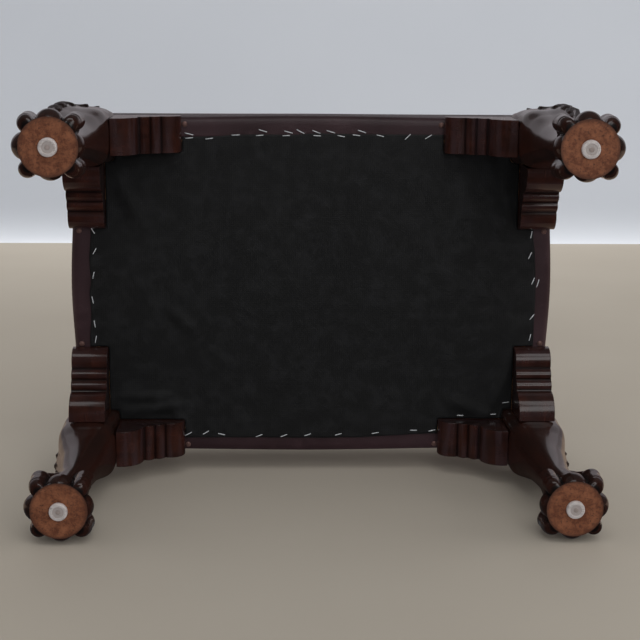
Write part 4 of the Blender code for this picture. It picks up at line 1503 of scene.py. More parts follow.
@dataclass
class SeatCover:
    """The leather cover: a side band turned under the rails, a crowned top panel and the welt between."""

    places: Places
    outline: SeatOutline
    hide: float = 1.6 * MM
    fold: float = 10 * MM
    fold_steps: int = 6
    flap: float = 26 * MM
    flap_rows: int = 4
    bow: Pair = (4.5 * MM, 2.5 * MM)  # out from the short sides and from the long ones
    bow_reach: Pair = (120 * MM, 230 * MM)
    band_rows: int = 20
    band_swell: float = 1.0 * MM
    top_swell: float = 4 * MM
    gather: float = 0.5 * MM
    gather_pitch: float = 11 * MM
    gather_reach: float = 14 * MM
    gather_start: float = 3 * MM
    gather_wander: Pair = (37 * MM, 61 * MM)
    gather_uneven: float = 1.6
    seam_rows: tuple[Pair, ...] = ((2.2 * MM, 1.2 * MM), (4 * MM, 1.6 * MM))  # in from the band and up
    settle_frames: int = 20
    settle_smooth: int = 12
    seed: int = 7

    def band_profile(self) -> tuple[list[Pair], list[float]]:
        """The band's rows, from the flap under the rails up to the welt.

        Returns:
            (inset, height) of each row, and each row's share of the bow between the brackets.
        """
        low, top, lean = self.places.underside, self.places.band_top, self.outline.lean
        start = low + self.fold
        flap = np.arange(self.flap_rows) / self.flap_rows
        angle = np.linspace(0, pi / 2, self.fold_steps + 1)
        side = np.arange(1, self.band_rows + 1) / self.band_rows
        rows = [(self.flap - (self.flap - self.fold) * share, low) for share in flap]
        rows += [*zip(self.fold * (1 - np.sin(angle)), low + self.fold * (1 - np.cos(angle)))]
        rows += [*zip(lean * side ** 2, start + (top - start) * side)]
        rows += [(lean + inset, top + rise) for inset, rise in self.seam_rows]
        sewn = np.zeros(len(self.seam_rows))
        return rows, [*flap, *np.ones(len(angle)), *np.cos(pi / 2 * side) ** 2, *sewn]

    def bowed(self, band: Array, shares: Sequence[float]) -> Array:
        """Bows the band out between the brackets, where nothing holds the stuffing back.

        Args:
            band: Points by row and column.
            shares: Each row's share of the bow.

        Returns:
            The bowed points.
        """
        bowed = band.copy()
        for axis, side in enumerate(self.outline.edge()):
            away = np.minimum(np.abs(band[..., 1 - axis]) / self.bow_reach[axis], 1.0)
            out = self.bow[axis] * np.cos(pi / 2 * away) ** 2 * (np.abs(side) == 1)
            bowed[..., axis] += np.sign(side) * out * np.array(shares)[:, None]
        return bowed

    def build(self) -> None:
        """Builds the band and the top, settles them over the stuffing, and sets the welt between them."""
        profile, shares = self.band_profile()
        band = self.bowed(self.outline.band(profile), shares)
        rows, columns = band.shape[:2]
        top, top_faces, rim = self.outline.top(self.outline.top_inset)
        band_faces = ring_faces(rows, columns)
        first = rows * columns
        points = np.concatenate([band.reshape(-1, 3), top])
        folded, sewn = self.flap_rows + self.fold_steps + 1, len(self.seam_rows) + 1
        held = np.zeros(len(points), dtype=bool)
        held[:folded * columns] = True
        held[first - sewn * columns:first] = True
        held[first + rim] = True
        limit = np.where(np.arange(len(points)) < first, self.band_swell, self.top_swell)
        faces = np.concatenate([band_faces, top_faces + first])
        points = self.settle(points, faces, held, limit[:, None])
        self.dress("hide_band", points[:first], band_faces, "leather_boxing", levels=0)
        self.dress("hide_top", self.gathers(points[first:]), top_faces, "leather_top", levels=1)
        self.welt()

    def settle(self, points: Array, faces: Array, held: Array, limit: Array) -> Array:
        """Lets the leather swell over the stuffing between its folds and seams, as a cloth under pressure.

        Args:
            points: The cover before it settles.
            faces: Its faces.
            held: Which points the folds and seams hold.
            limit: How far each point may move.

        Returns:
            The settled points.
        """
        cloth_piece = new_piece("cover_cloth", points, faces, (HIDE,))
        pins = cloth_piece.vertex_groups.new(name="held")
        pins.add([int(k) for k in np.flatnonzero(held)], 1.0, "REPLACE")
        cloth = cloth_piece.modifiers.new("settle", "CLOTH")
        leather = {"quality": 5, "mass": 0.4, "tension_stiffness": 25, "compression_stiffness": 25,
                   "shear_stiffness": 10, "bending_stiffness": 3, "use_pressure": True,
                   "uniform_pressure_force": 4.0, "vertex_group_mass": pins.name, "shrink_min": -0.004}
        for name, value in leather.items():
            setattr(cloth.settings, name, value)
        cloth.settings.effector_weights.gravity = 0.0
        cloth.collision_settings.use_collision = False
        cloth.collision_settings.use_self_collision = False
        cloth.point_cache.frame_start = 1
        cloth.point_cache.frame_end = self.settle_frames
        scene = bpy.context.scene
        for frame in range(1, self.settle_frames + 1):
            scene.frame_set(frame)
        graph = bpy.context.evaluated_depsgraph_get()
        settled = cloth_piece.evaluated_get(graph).to_mesh()
        moved = np.empty(len(points) * 3)
        settled.vertices.foreach_get("co", moved)
        scene.frame_set(1)
        bpy.data.objects.remove(cloth_piece)
        move = moved.reshape(-1, 3) - points
        shared = np.bincount(faces.ravel(), minlength=len(points))[:, None]
        for _ in range(self.settle_smooth):
            middle = np.zeros_like(move)
            mean = move[faces].mean(axis=1)
            np.add.at(middle, faces.ravel(), np.repeat(mean, faces.shape[1], axis=0))
            move = np.where(held[:, None], move, middle / shared)
        distance = np.linalg.norm(move, axis=1, keepdims=True)
        LOG.info("cover settled: %.1f mm at most before the limit", distance.max() / MM)
        eased = limit * np.tanh(distance / limit)
        return points + move * np.divide(eased, distance, out=np.zeros_like(distance), where=distance > 0)

    def gathers(self, top: Array) -> Array:
        """Draws shallow gathers in the top beside the seam.

        Args:
            top: The top's points.

        Returns:
            The gathered points.
        """
        half = np.array([self.places.half_length, self.places.half_width]) - self.outline.top_inset
        gap = np.maximum(half - np.abs(top[:, :2]), 0.0)
        from_edge = gap.min(axis=1)
        along = np.where(gap[:, 1] < gap[:, 0], top[:, 0], top[:, 1])
        phase = np.random.default_rng(self.seed).uniform(0, 2 * pi, 4)
        wander = sum(np.sin(along / length + start) for length, start in zip(self.gather_wander, phase))
        wave = np.sin(2 * pi * along / self.gather_pitch + self.gather_uneven * wander + phase[2])
        drawn = top.copy()
        fade = np.exp(-(from_edge / self.gather_reach) ** 2) * ease(from_edge, 0.0, self.gather_start)
        drawn[:, 2] += self.gather * wave * fade
        return drawn

    def dress(self, name: str, points: Array, faces: Array, node: str, levels: int) -> None:
        """Gives a panel of leather its thickness and place.

        Args:
            name: The panel's name.
            points: Its points.
            faces: Its faces.
            node: The node that it stands for.
            levels: Levels of subdivision.
        """
        piece = new_piece(name, points, faces, (HIDE,))
        modify(piece, "hide", "SOLIDIFY", thickness=self.hide, offset=-1.0)
        if levels:
            modify(piece, "smooth", "SUBSURF", levels=levels, render_levels=levels)
        fit(piece, "leather", node)

    def welt(self) -> None:
        """Builds the corded welt along the seam with Geometry Nodes."""
        path = self.outline.plan(*self.outline.edge(), self.places.welt_radius + self.outline.lean)
        points = [(x, y, self.places.welt_height) for x, y in path]
        seam = [(k, (k + 1) % len(points)) for k in range(len(points))]
        piece = new_piece("hide_welt", points, edges=seam)
        sizes = {"Cord Radius": self.places.welt_radius}
        tree, start = new_tree("corded_welt", sizes)
        curve = add_node(tree, "GeometryNodeMeshToCurve", {0: start.outputs["Geometry"]})
        section = add_node(tree, "GeometryNodeCurvePrimitiveCircle",
                           {"Resolution": 18, "Radius": start.outputs["Cord Radius"]})
        tube = add_node(tree, "GeometryNodeCurveToMesh", {0: curve.outputs[0], 1: section.outputs[0]})
        grow(piece, tube.outputs[0], HIDE, sizes)
        fit(piece, "leather", "top_welt")


@dataclass
class SeatFilling:
    """What the leather covers: webbing, hessian, foam and wadding on the frame."""

    places: Places
    outline: SeatOutline
    hide: float = 1.6 * MM
    wadding: float = 4 * MM
    waist: float = 1.5 * MM
    tuft: float = 0.12 * MM
    strap: float = 1.2 * MM
    strap_rise: float = 1.5 * MM
    strap_slope: float = 9 * MM
    strap_cells: tuple[int, int] = (150, 10)
    hessian_cell: float = 8 * MM
    foam_slope: float = 2 * MM
    wadding_rows: int = 13
    seed: int = 11
    long_straps: tuple[str, ...] = ("long_strap_front", "long_strap_back")
    cross_straps: tuple[str, ...] = ("cross_strap_left", "cross_strap_middle", "cross_strap_right")

    def build(self) -> None:
        """Builds and dresses the layers from the webbing up."""
        for row, node in enumerate(self.long_straps):
            over = [column for column in range(len(self.cross_straps)) if (row + column) % 2 == 0]
            self.webbing(node, 0, [self.cross_straps[k] for k in over])
        for column, node in enumerate(self.cross_straps):
            over = [row for row in range(len(self.long_straps)) if (row + column) % 2 == 1]
            self.webbing(node, 1, [self.long_straps[k] for k in over])
        self.hessian()
        self.foam()
        self.cotton()

    def webbing(self, node: str, axis: int, under: Sequence[str]) -> None:
        """Builds one strap, which rises over some of the straps that it crosses.

        Args:
            node: The strap's node.
            axis: The axis that it runs along.
            under: Nodes of the straps that pass under it.
        """
        low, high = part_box(node)
        along = np.linspace(low[axis], high[axis], self.strap_cells[0] + 1)
        across = np.linspace(low[1 - axis], high[1 - axis], self.strap_cells[1] + 1)
        rise = np.zeros_like(along)
        for other in under:
            start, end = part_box(other)
            before = ease(along, start[axis] - self.strap_slope, start[axis])
            rise = np.maximum(rise, before * (1 - ease(along, end[axis], end[axis] + self.strap_slope)))
        s, t = np.meshgrid(along, across, indexing="ij")
        z = low.z + self.strap / 2 + self.strap_rise * np.repeat(rise[:, None], len(across), axis=1)
        points = np.stack([s, t, z] if axis == 0 else [t, s, z], axis=-1).reshape(-1, 3)
        self.cloth(f"webbing_{node}", points, z.shape, axis == 1, WEBBING, self.strap, "jute", node)

    def cloth(self, name: str, points: Array, shape: tuple[int, int], turned: bool, finish: Finish,
              thickness: float, slot: str, node: str) -> Object:
        """Makes a grid of points a cloth of some thickness.

        Args:
            name: The piece's name.
            points: Its points.
            shape: How many points the grid has each way.
            turned: Whether the grid's first direction is Y, so that its faces turn over.
            finish: The piece's finish.
            thickness: The cloth's thickness.
            slot: The record's material slot.
            node: The node that it stands for.

        Returns:
            The piece.
        """
        faces = grid_faces(*shape)
        piece = new_piece(name, points, faces[:, ::-1] if turned else faces, (finish,))
        modify(piece, "cloth", "SOLIDIFY", thickness=thickness, offset=0.0)
        fit(piece, slot, node)
        return piece

    def hessian(self) -> None:
        """Builds the hessian stretched over the webbing."""
        low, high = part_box("hessian")
        size = high - low
        along = np.linspace(low.x, high.x, round(size.x / self.hessian_cell) + 1)
        across = np.linspace(low.y, high.y, round(size.y / self.hessian_cell) + 1)
        x, y = np.meshgrid(along, across, indexing="ij")
        points = np.stack([x, y, np.full(x.shape, (low.z + high.z) / 2)], axis=-1).reshape(-1, 3)
        piece = self.cloth("hessian_sheet", points, x.shape, False, HESSIAN, size.z, "jute", "hessian")

    def foam(self) -> None:
        """Builds the foam block: a crowned block with its sides drawn in."""
        low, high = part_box("seat_foam")
        inset = self.places.half_length - high.x
        shoulder = self.places.band_top - self.wadding - 2 * FIT
        profile = [(inset, low.z), (inset + self.waist, (low.z + shoulder) / 2),
                   (inset + self.outline.lean, shoulder)]
        edge = self.outline.top_inset + self.wadding + 2 * FIT
        drop = self.places.crown_height - high.z
        points, faces = self.outline.shell(profile, edge + self.foam_slope, drop)
        columns = len(self.outline.edge()[0])
        piece = new_piece("foam_block", points, [*faces, np.arange(columns)[::-1]], (FOAM,), sharp=50)
        fit(piece, "foam", "seat_foam")

    def cotton(self) -> None:
        """Builds the wadding: a soft uneven layer over the foam and down the rails."""
        low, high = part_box("cotton_wadding")
        inset, shoulder = self.hide + FIT, self.places.band_top - 2 * FIT
        profile = [(inset + self.outline.lean * share ** 2, low.z + (shoulder - low.z) * share)
                   for share in np.linspace(0, 1, self.wadding_rows)]
        drop = self.places.crown_height - high.z
        points, faces = self.outline.shell(profile, self.outline.top_inset + FIT, drop)
        points[:, 2] -= self.tuft * np.random.default_rng(self.seed).uniform(0, 1, len(points))
        piece = new_piece("wadding_layer", points, faces, (COTTON,))
        modify(piece, "wadding", "SOLIDIFY", thickness=self.wadding, offset=-1.0)
        fit(piece, "cotton", "cotton_wadding")


@dataclass
class SeatFrame:
    """The beech frame, its corner blocks and the bolts of the legs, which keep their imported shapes."""

    nodes: dict[str, Object]

    def build(self) -> None:
        """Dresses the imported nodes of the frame."""
        finishes = {"back_rail": RAIL_BEECH, "front_rail": RAIL_BEECH,
                    "left_rail": END_RAIL_BEECH, "right_rail": END_RAIL_BEECH}
        for corner in Corner:
            finishes |= {f"corner_block_{corner.label}": RAIL_BEECH,
                         f"leg_bolt_{corner.label}": ZINC_STEEL, f"leg_nut_{corner.label}": ZINC_STEEL}
        for node, finish in finishes.items():
            for slot in self.nodes[node].material_slots:
                slot.material = finish.material()
            LOG.info("%s keeps its packed shape", node)


@dataclass(frozen=True)
class Staple:
    """A staple, in mm: along its side of the seat, in from the cloth's edge; and its slant in degrees."""

    along: float
    inset: float
    slant: float


@dataclass(frozen=True)
class Crease:
    """A soft crease in the cambric, in mm: its two ends, its half width, and how far it hangs down."""

    start: Pair
    end: Pair
    width: float
    drop: float


@dataclass
class Underside:
    """The cambric under the seat, its staples, and the tacks beside the brackets."""

    places: Places
    cell: float = 5 * MM
    gap: float = 0.6 * MM
    tuck: float = 2.9 * MM  # the cloth's inner corners are drawn in against the round corners of the legs
    tuck_reach: float = 5.6 * MM
    hem_reach: float = 22 * MM
    cloth: float = 0.7 * MM
    sag: float = 2.5 * MM
    sag_shape: float = 0.7  # power of the bowl: the cloth is flatter in its middle
    puff: float = 1.2 * MM
    puff_reach: float = 14 * MM
    puff_edge: float = 0.25  # the edge's puffs end where the bowl is this deep
    puff_inside: float = 0.35  # share of them that is left inside
    crease_depth: float = 2.0
    crease_start: float = 0.15  # a crease takes up a half wave but for this share at each end
    staple_crown: float = 10 * MM
    staple_wire: float = 1.25 * MM
    staple_lift: float = 0.7 * MM
    staple_legs: float = 1.2 * MM
    front: tuple[Staple, ...] = (
        Staple(-155, 1.6, 14), Staple(-155, 6.7, -5), Staple(-130, 7.3, -7),
        Staple(-97, 2.7, -2), Staple(-63, -2.6, 16), Staple(-67, 3, -4),
        Staple(-31, -1.2, 15), Staple(-34, 3.2, -3), Staple(-16, -1.8, 27),
        Staple(4, -1.5, 19), Staple(5, 3.2, 3), Staple(22, -1.8, 16),
        Staple(35, 3.6, 10), Staple(54, 2.4, 7), Staple(61, -2.2, 18),
        Staple(84, 2.9, 13), Staple(118, 4.5, -44), Staple(144, 4.3, -32),
    )
    back: tuple[Staple, ...] = (
        Staple(-160, 4, -28), Staple(-137, 5.6, -31), Staple(-117, 3.3, 12),
        Staple(-68, 1.2, -20), Staple(-36, 1.1, -21), Staple(-5, 2.2, -18),
        Staple(35, 2.7, -13), Staple(83, 4.4, -10), Staple(133, 8, 0),
        Staple(157, 7.7, -12), Staple(194, 28.1, 0), Staple(235, 29.9, -1),
        Staple(252.5, 45.2, -8),
    )
    left: tuple[Staple, ...] = (
        Staple(-73, 6.7, -31), Staple(-47, 8.5, 30), Staple(-16, 6.3, 12),
        Staple(16, 4.6, -11), Staple(47, 6.4, -9), Staple(67, 7.4, 12),
    )
    right: tuple[Staple, ...] = (
        Staple(-69, 5.6, 11), Staple(-42, 6.4, 24), Staple(-9, 1.3, 21),
        Staple(-6, -5, 16), Staple(38, 1.2, 38), Staple(65, 2.7, 13),
    )
    front_hem: Hem = ((-160, 5), (-122, 4.3), (-97, 2.5), (-66, 1.9),
                      (-22, 2), (0.0, 0.3), (31, 0.7), (95, 1.3))
    back_hem: Hem = ((-90, -0.9), (0.0, -1.7), (59, -1.2), (104, 1.2), (157, 3.6))
    left_hem: Hem = ((-72, 4.2), (-35, 1.7), (-5, 3.3), (5, 0.8), (30, 2.6), (71, 0.3))
    right_hem: Hem = ((-67, 3.2), (-46, 0.3), (14, -2.3), (64, -1.5))
    creases: tuple[Crease, ...] = (
        Crease((-245, 143), (-182, 142), 5, 2.2),
        Crease((-239, 162), (-166, 153), 6, 2.4),
        Crease((-178, 158), (-160, 192), 6, 1.7),
        Crease((176, 147), (228, 167), 8, 2.4),
        Crease((230, 166), (259, 92), 6, 1.7),
        Crease((-241, -162), (-167, -170), 5, 1.9),
        Crease((-246, -142), (-218, -83), 9, 2.0),
        Crease((240, -144), (249, -84), 6, 1.6),
        Crease((-180, 30), (-153, 53), 7, 1.8),
    )

    def notches(self) -> tuple[Array, Array, Array, Array]:
        """Measures the cloth from its middle.

        Returns:
            X and Y of its edge, of the ends of the brackets, behind them, and of the legs.
        """
        edge = np.array(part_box("dust_cover")[1])[:2]
        long_low = np.array(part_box("long_bracket_back_right")[0])
        short_low = np.array(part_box("short_bracket_back_right")[0])
        free = np.array([long_low[0], short_low[1]]) - self.gap
        behind = np.array([short_low[0], long_low[1]]) - self.gap
        leg = np.array(self.places.leg_inner) - self.gap
        return edge, free, behind, leg

    def staples(self) -> list[tuple[float, float, float]]:
        """Places the staples of all sides.

        Returns:
            X, Y and turn of each.
        """
        edge = self.notches()[0]
        sides = ((self.front, 0, -1), (self.back, 0, 1), (self.left, 1, -1), (self.right, 1, 1))
        found = []
        for staples, axis, sign in sides:
            for staple in staples:
                out, along = sign * (edge[1 - axis] - staple.inset * MM), staple.along * MM
                x, y = (along, out) if axis == 0 else (out, along)
                found.append((x, y, radians(staple.slant + 90 * axis)))
        return found

    def lines(self, axis: int) -> Array:
        """Spaces the cloth's grid lines, with one at each step of its outline.

        Args:
            axis: The axis that they lie along.

        Returns:
            Their places.
        """
        steps = sorted(half[axis] for half in self.notches())
        fixed = [-step for step in reversed(steps)] + steps
        counts = [max(1, round((end - start) / self.cell)) for start, end in zip(fixed, fixed[1:])]
        spans = zip(fixed, fixed[1:], counts)
        return np.array([fixed[0], *(start + (end - start) * k / count
                                     for start, end, count in spans for k in range(1, count + 1))])

    def build(self) -> None:
        """Builds the cambric, its staples and the tacks."""
        self.cambric()
        self.staple_row()
        self.tacks()

    def cambric(self) -> None:
        """Builds the cloth: stapled along its hem, with a shallow sag, creases, and puffs between staples."""
        edge, free, behind, leg = self.notches()
        x, y = np.meshgrid(self.lines(0), self.lines(1), indexing="ij")
        middle_x, middle_y = (x[:-1, :-1] + x[1:, 1:]) / 2, (y[:-1, :-1] + y[1:, 1:]) / 2
        away_x, away_y = np.abs(middle_x), np.abs(middle_y)
        corners = ((free[0], edge[1]), (leg[0], behind[1]), (behind[0], leg[1]), (edge[0], free[1]))
        kept = np.any([(away_x < far_x) & (away_y < far_y) for far_x, far_y in corners], axis=0)
        columns = x.shape[1]
        i, j = np.nonzero(kept)
        corner = i * columns + j
        faces = np.stack([corner, corner + 1, corner + columns + 1, corner + columns], axis=-1)
        used, faces = np.unique(faces, return_inverse=True)
        px, py = x.reshape(-1)[used], y.reshape(-1)[used]
        flat = self.hemmed(np.stack([px, py]), edge)
        for axis, other in ((0, 1), (1, 0)):
            depth = np.abs(flat[other]) - leg[other]
            beside = (np.abs(np.abs(flat[axis]) - leg[axis]) < FIT) & (depth > -FIT)
            fade = np.exp(-np.maximum(depth, 0) / self.tuck_reach)
            flat[axis] += np.sign(flat[axis]) * beside * self.tuck * fade
        to_staple = np.full(px.shape, np.inf)
        for sx, sy, _ in self.staples():
            to_staple = np.minimum(to_staple, np.hypot(flat[0] - sx, flat[1] - sy))
        loose = 1 - np.exp(-(to_staple / self.puff_reach) ** 2)
        near_edge = 1 - ease(self.bowl(*flat), 0.0, self.puff_edge)
        top = self.places.underside - self.gap - self.cloth / 2
        level = self.puff_inside + near_edge * (1 - self.puff_inside)
        drop = self.hang(*flat) + self.puff * loose * level
        points = np.stack([*flat, top - drop], axis=-1)
        piece = new_piece("cambric_sheet", points, faces.reshape(-1, 4), (CAMBRIC,))
        modify(piece, "smooth", "SUBSURF", levels=1, render_levels=1, boundary_smooth="PRESERVE_CORNERS")
        modify(piece, "cloth", "SOLIDIFY", thickness=self.cloth, offset=0.0)
        fit(piece, "black_cambric", "dust_cover")

    def hemmed(self, flat: Array, edge: Array) -> Array:
        """Draws the cloth's free edges in along the line that was folded by hand.

        Args:
            flat: X and Y of the cloth's points.
            edge: Half sizes of the cloth.

        Returns:
            X and Y of the points on the hemmed cloth.
        """
        drawn = flat.copy()
        for axis, sign, hem in ((0, -1, self.front_hem), (0, 1, self.back_hem), (1, -1, self.left_hem),
                                (1, 1, self.right_hem)):
            places, insets = np.array(hem).T * MM
            depth = edge[1 - axis] - sign * flat[1 - axis]
            share = 1 - ease(depth, 0.0, self.hem_reach)
            drawn[1 - axis] -= sign * share * smooth_through(places, insets, flat[axis])
        return drawn

    def bowl(self, x: Array, y: Array) -> Array:
        """How near the cloth's middle points lie: 1 there, and 0 along its edge."""
        edge = self.notches()[0]
        return np.clip((1 - (x / edge[0]) ** 2) * (1 - (y / edge[1]) ** 2), 0.0, 1.0)

    def hang(self, x: Array, y: Array) -> Array:
        """How far the cloth hangs under its edge: a shallow sag and the creases.

        Args:
            x: Places along the seat.
            y: Places across it.

        Returns:
            Drops in metres.
        """
        drop = self.sag * self.bowl(x, y) ** self.sag_shape
        wave = 1 - 2 * self.crease_start
        for crease in self.creases:
            start, run = np.array(crease.start) * MM, (np.array(crease.end) - np.array(crease.start)) * MM
            length = np.hypot(*run)
            along = np.clip(((x - start[0]) * run[0] + (y - start[1]) * run[1]) / length ** 2, 0.0, 1.0)
            gap = np.hypot(x - start[0] - along * run[0], y - start[1] - along * run[1])
            rise = np.sin(pi * (self.crease_start + wave * along))
            fold = np.exp(-(gap / (crease.width * MM)) ** 2) * rise
            drop = drop + self.crease_depth * crease.drop * MM * fold
        return drop

    def staple_row(self) -> None:
        """Builds the staples: one bent wire, set on points by Geometry Nodes."""
        height = self.places.underside - self.gap - self.cloth - self.staple_lift / 2
        x, y, slant = np.array(self.staples()).T
        piece = new_piece("cambric_staples", np.stack([x, y, height - self.hang(x, y)], axis=-1))
        mark(piece, SLANT, slant)
        half, legs = self.staple_crown / 2, self.staple_legs
        sizes = {"Left": -half, "Right": half, "Legs": legs, "Bend": -4 / 3 * legs,
                 "Wire Radius": self.staple_wire / 2}
        tree, start = new_tree("staple_wire", sizes)
        left, right, bend = (add_node(tree, "ShaderNodeCombineXYZ", place).outputs[0] for place in (
            {0: start.outputs["Left"], 2: start.outputs["Legs"]},
            {0: start.outputs["Right"], 2: start.outputs["Legs"]}, {2: start.outputs["Bend"]}))
        bow = add_node(tree, "GeometryNodeCurvePrimitiveBezierSegment", mode="OFFSET",
                       inputs={"Resolution": 8, "Start": left, "Start Handle": bend, "End Handle": bend,
                               "End": right})
        section = add_node(tree, "GeometryNodeCurvePrimitiveCircle",
                           {"Resolution": 6, "Radius": start.outputs["Wire Radius"]})
        wire = add_node(tree, "GeometryNodeCurveToMesh",
                        {0: bow.outputs[0], 1: section.outputs[0], "Fill Caps": True})
        turn = add_node(tree, "GeometryNodeInputNamedAttribute", {"Name": SLANT}, data_type="FLOAT")
        spin = add_node(tree, "ShaderNodeCombineXYZ", {2: turn.outputs[0]})
        row = add_node(tree, "GeometryNodeInstanceOnPoints",
                       {"Points": start.outputs["Geometry"], "Instance": wire.outputs[0],
                        "Rotation": spin.outputs[0]})
        grow(piece, row.outputs[0], STAPLE_WIRE, sizes)
        fit(piece, "steel")

    def tacks(self) -> None:
        """Builds the domed tacks beside the brackets with Geometry Nodes."""
        nodes = [f"{kind}_tack_{corner.label}" for kind in ("long", "short") for corner in Corner]
        boxes = [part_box(node) for node in nodes]
        points = [((low.x + high.x) / 2, (low.y + high.y) / 2, high.z) for low, high in boxes]
        piece = new_piece("hide_tacks", points)
        low, high = boxes[0]
        size = high - low
        sizes = {"Head Radius": size.x / 2, "Flatness": 2 * size.z / size.x}
        tree, start = new_tree("domed_tack", sizes)
        ball = add_node(tree, "GeometryNodeMeshUVSphere",
                        {"Segments": 24, "Rings": 12, "Radius": start.outputs["Head Radius"]})
        scale = add_node(tree, "ShaderNodeCombineXYZ", {0: 1.0, 1: 1.0, 2: start.outputs["Flatness"]})
        row = add_node(tree, "GeometryNodeInstanceOnPoints",
                       {"Points": start.outputs["Geometry"], "Instance": ball.outputs[0],
                        "Scale": scale.outputs[0]})
        grow(piece, row.outputs[0], TONED_BRONZE, sizes)
        fit(piece, "bronze", *nodes)


@dataclass(frozen=True)
class SoftLamp:
    """A large soft lamp: its place, size and radiance, and whether polished wood mirrors it."""

    name: str
    place: tuple[float, float, float]
    size: Pair
    radiance: float
    mirrored: bool = True


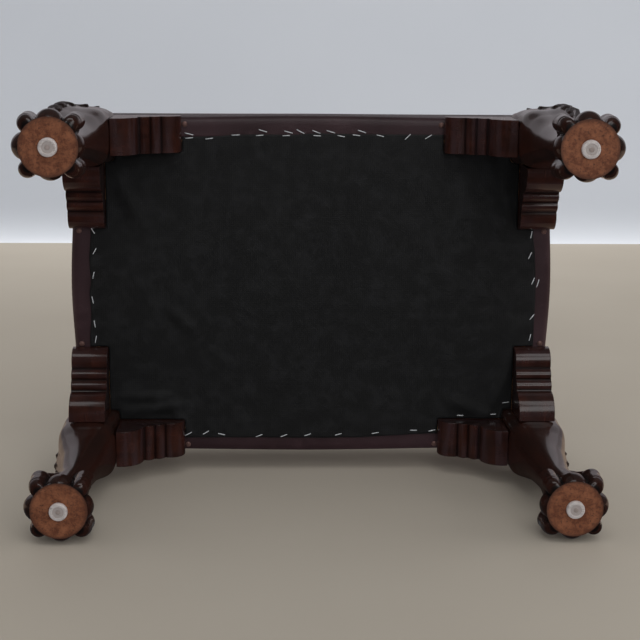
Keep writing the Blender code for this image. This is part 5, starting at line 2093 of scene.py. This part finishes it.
@dataclass
class Studio:
    """A plain studio: pale paper behind and under the ottoman, soft lamps, and the photograph's camera."""

    sweep_gap: float = 1 * MM
    sweep_half_width: float = 3.0
    sweep_near: float = -2.6
    sweep_far: float = 0.1  # the floor behind this line shows in the polish, but for a painted shadow under the seat
    shade_half: float = 0.34
    shade_far: float = 0.5
    low_wall: float = -0.55
    sweep_turn: float = 2.25
    sweep_round: float = 0.12
    sweep_steps: int = 16
    sweep_top: float = -1.8
    floor_half: float = 5.0
    focal: float = 84.375
    sensor: float = 36.0
    camera_place: tuple[float, float, float] = (-0.0554, -0.3451, -1.5988)
    camera_pitch: float = radians(11.61)
    camera_yaw: float = radians(-1.99)
    camera_roll: float = radians(0.41)
    backdrop: str = "#C6C8CB"
    world_light: str = "#F2F4F8"
    fill: float = 0.3
    dim_side: float = 0.02  # the studio is dim on the camera's side, so polish there stays dark
    bright_side: float = 0.14
    bright_way: tuple[float, float, float] = (0.0, -0.55, 0.83)
    aim: tuple[float, float, float] = (0.0, 0.0, 0.22)
    soft_lamps: tuple[SoftLamp, ...] = (
        SoftLamp("key", (0.1, -2.4, -0.9), (1.7, 1.2), 1.5),
        SoftLamp("window", (0.8, -1.3, -1.8), (0.6, 1.7), 1.6),
        SoftLamp("left", (-2.3, -0.3, 0.0), (2.0, 2.0), 0.6, mirrored=False),
        SoftLamp("right", (2.3, -0.3, 0.0), (2.0, 2.0), 1.35, mirrored=False),
        SoftLamp("below", (0.4, -0.6, -2.3), (2.2, 1.8), 1.95, mirrored=False),
        SoftLamp("top", (0.0, -0.6, 2.6), (3.2, 2.6), 1.5, mirrored=False),
        SoftLamp("back", (0.0, 2.4, 0.9), (2.4, 2.0), 1.2, mirrored=False),
    )

    def build(self) -> None:
        """Builds the paper, the lamps, the world and the camera."""
        self.paper()
        self.lamps()
        self.world()
        self.camera()
        bpy.context.scene.view_settings.view_transform = "Standard"

    def paper(self) -> None:
        """Builds the sweep behind the back side, and a floor under the feet."""
        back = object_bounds()[1][1] + self.sweep_gap
        angle = np.linspace(0, pi / 2, self.sweep_steps + 1)
        bend = [*zip(back - self.sweep_round * (1 - np.cos(angle)),
                     self.sweep_turn + self.sweep_round * np.sin(angle))]
        far, wide = bend[-1][1], self.floor_half
        half, shade = self.sweep_half_width, self.shade_half
        stops = (self.sweep_near, self.sweep_far, self.shade_far, self.sweep_turn)
        near, beside, behind = (((back, a), (back, b)) for a, b in zip(stops, stops[1:]))
        fold = (self.low_wall, far)
        sheets = []
        for name, sides, line, finish in (
                ("studio_near_floor", (half, -half), near, STUDIO_FLOOR),
                # in the polish this tile shows a painted shadow under the seat
                ("mirrored_shaded_floor", (shade, -shade), beside, STUDIO_SHADE),
                ("mirrored_right_floor", (half, shade), beside, STUDIO_FLOOR),
                ("mirrored_left_floor", (-shade, -half), beside, STUDIO_FLOOR),
                ("mirrored_far_floor", (half, -half), behind, STUDIO_FLOOR),
                ("mirrored_low_wall", (half, -half), [*bend, fold], STUDIO_LOW_WALL),
                ("mirrored_high_wall", (half, -half), [fold, (self.sweep_top, far)], STUDIO_WALL)):
            points = [(x, y, z) for x in sides for y, z in line]
            count = len(line)
            faces = [[k, k + 1, k + 1 + count, k + count] for k in range(count - 1)]
            sheets.append(new_piece(name, np.array(points), faces, (finish,)))
        corners = [(-wide, -wide, 0.0), (wide, -wide, 0.0), (wide, wide, 0.0), (-wide, wide, 0.0)]
        sheets.append(new_piece("studio_floor", np.array(corners), [(0, 1, 2, 3)], (STUDIO_FLOOR,)))
        for sheet in sheets:
            sheet.visible_diffuse = False
            sheet.visible_glossy = sheet.name.startswith("mirrored")
            sheet.visible_transmission = False
            sheet.visible_shadow = False
            sheet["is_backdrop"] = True

    def lamps(self) -> None:
        """Sets large soft lamps on all sides, the strongest before the ottoman's front."""
        for lamp in self.soft_lamps:
            light = bpy.data.lights.new(f"{lamp.name}_lamp", "AREA")
            light.shape = "RECTANGLE"
            light.size, light.size_y = lamp.size
            light.energy = lamp.radiance * pi * lamp.size[0] * lamp.size[1]
            stand = bpy.data.objects.new(f"{lamp.name}_lamp", light)
            stand.location = lamp.place
            stand.rotation_euler = (Vector(self.aim) - Vector(lamp.place)).to_track_quat("-Z", "Y").to_euler()
            stand.visible_glossy = lamp.mirrored
            bpy.context.scene.collection.objects.link(stand)

    def world(self) -> None:
        """Sets an even fill light, and a pale backdrop for what looks past the paper."""
        world = bpy.data.worlds.new("studio")
        bpy.context.scene.world = world
        world.use_nodes = True
        tree = world.node_tree
        tree.nodes.clear()
        path = add_node(tree, "ShaderNodeLightPath")
        mirrored = add_node(tree, "ShaderNodeMath", operation="MAXIMUM",
                            inputs={0: path.outputs["Is Glossy Ray"], 1: path.outputs["Is Transmission Ray"]})
        seen = add_node(tree, "ShaderNodeMath", operation="MAXIMUM",
                        inputs={0: path.outputs["Is Camera Ray"], 1: mirrored.outputs[0]})
        sky = add_node(tree, "ShaderNodeTexCoord").outputs["Generated"]
        facing = add_node(tree, "ShaderNodeVectorMath", {0: sky, 1: self.bright_way}, operation="DOT_PRODUCT")
        level = add_node(tree, "ShaderNodeMapRange",
                         {"Value": facing.outputs["Value"], "From Min": 0.0, "From Max": 0.75,
                          "To Min": self.dim_side, "To Max": self.bright_side})
        strength = add_node(tree, "ShaderNodeMath", operation="MAXIMUM",
                            inputs={0: level.outputs[0], 1: path.outputs["Is Camera Ray"]})
        fill = add_node(tree, "ShaderNodeBackground", {0: linear(self.world_light), 1: self.fill})
        backdrop = add_node(tree, "ShaderNodeBackground",
                            {0: linear(self.backdrop), 1: strength.outputs[0]})
        both = add_node(tree, "ShaderNodeMixShader",
                        {0: seen.outputs[0], 1: fill.outputs[0], 2: backdrop.outputs[0]})
        add_node(tree, "ShaderNodeOutputWorld", {0: both.outputs[0]})

    def camera(self) -> None:
        """Sets the photograph's camera: below the seat, looking up at the underside."""
        lens = bpy.data.cameras.new("photo_camera")
        lens.lens, lens.sensor_width = self.focal, self.sensor
        lens.clip_start = 0.05
        camera = bpy.data.objects.new("photo_camera", lens)
        turn = Matrix.Rotation(self.camera_roll, 3, "Z") @ Matrix.Rotation(self.camera_pitch, 3, "X")
        turn = turn @ Matrix.Rotation(self.camera_yaw, 3, "Y")
        columns = Matrix((turn[0], -turn[1], -turn[2])).transposed()
        camera.matrix_world = Matrix.Translation(self.camera_place) @ columns.to_4x4()
        bpy.context.scene.collection.objects.link(camera)
        bpy.context.scene.camera = camera


def main() -> None:
    """Loads the frame and builds every piece around it."""
    logging.basicConfig(level=logging.INFO, format="%(name)s: %(message)s")
    for old in list(bpy.data.objects):
        bpy.data.objects.remove(old)
    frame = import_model()
    places = Places.read()
    CarvedLegs(places).build()
    FootGlides().build()
    MouldedBrackets().build()
    outline = SeatOutline(places)
    SeatFrame(frame["nodes"]).build()
    SeatFilling(places, outline).build()
    SeatCover(places, outline).build()
    Underside(places).build()
    Studio().build()


if __name__ == "__main__":
    main()
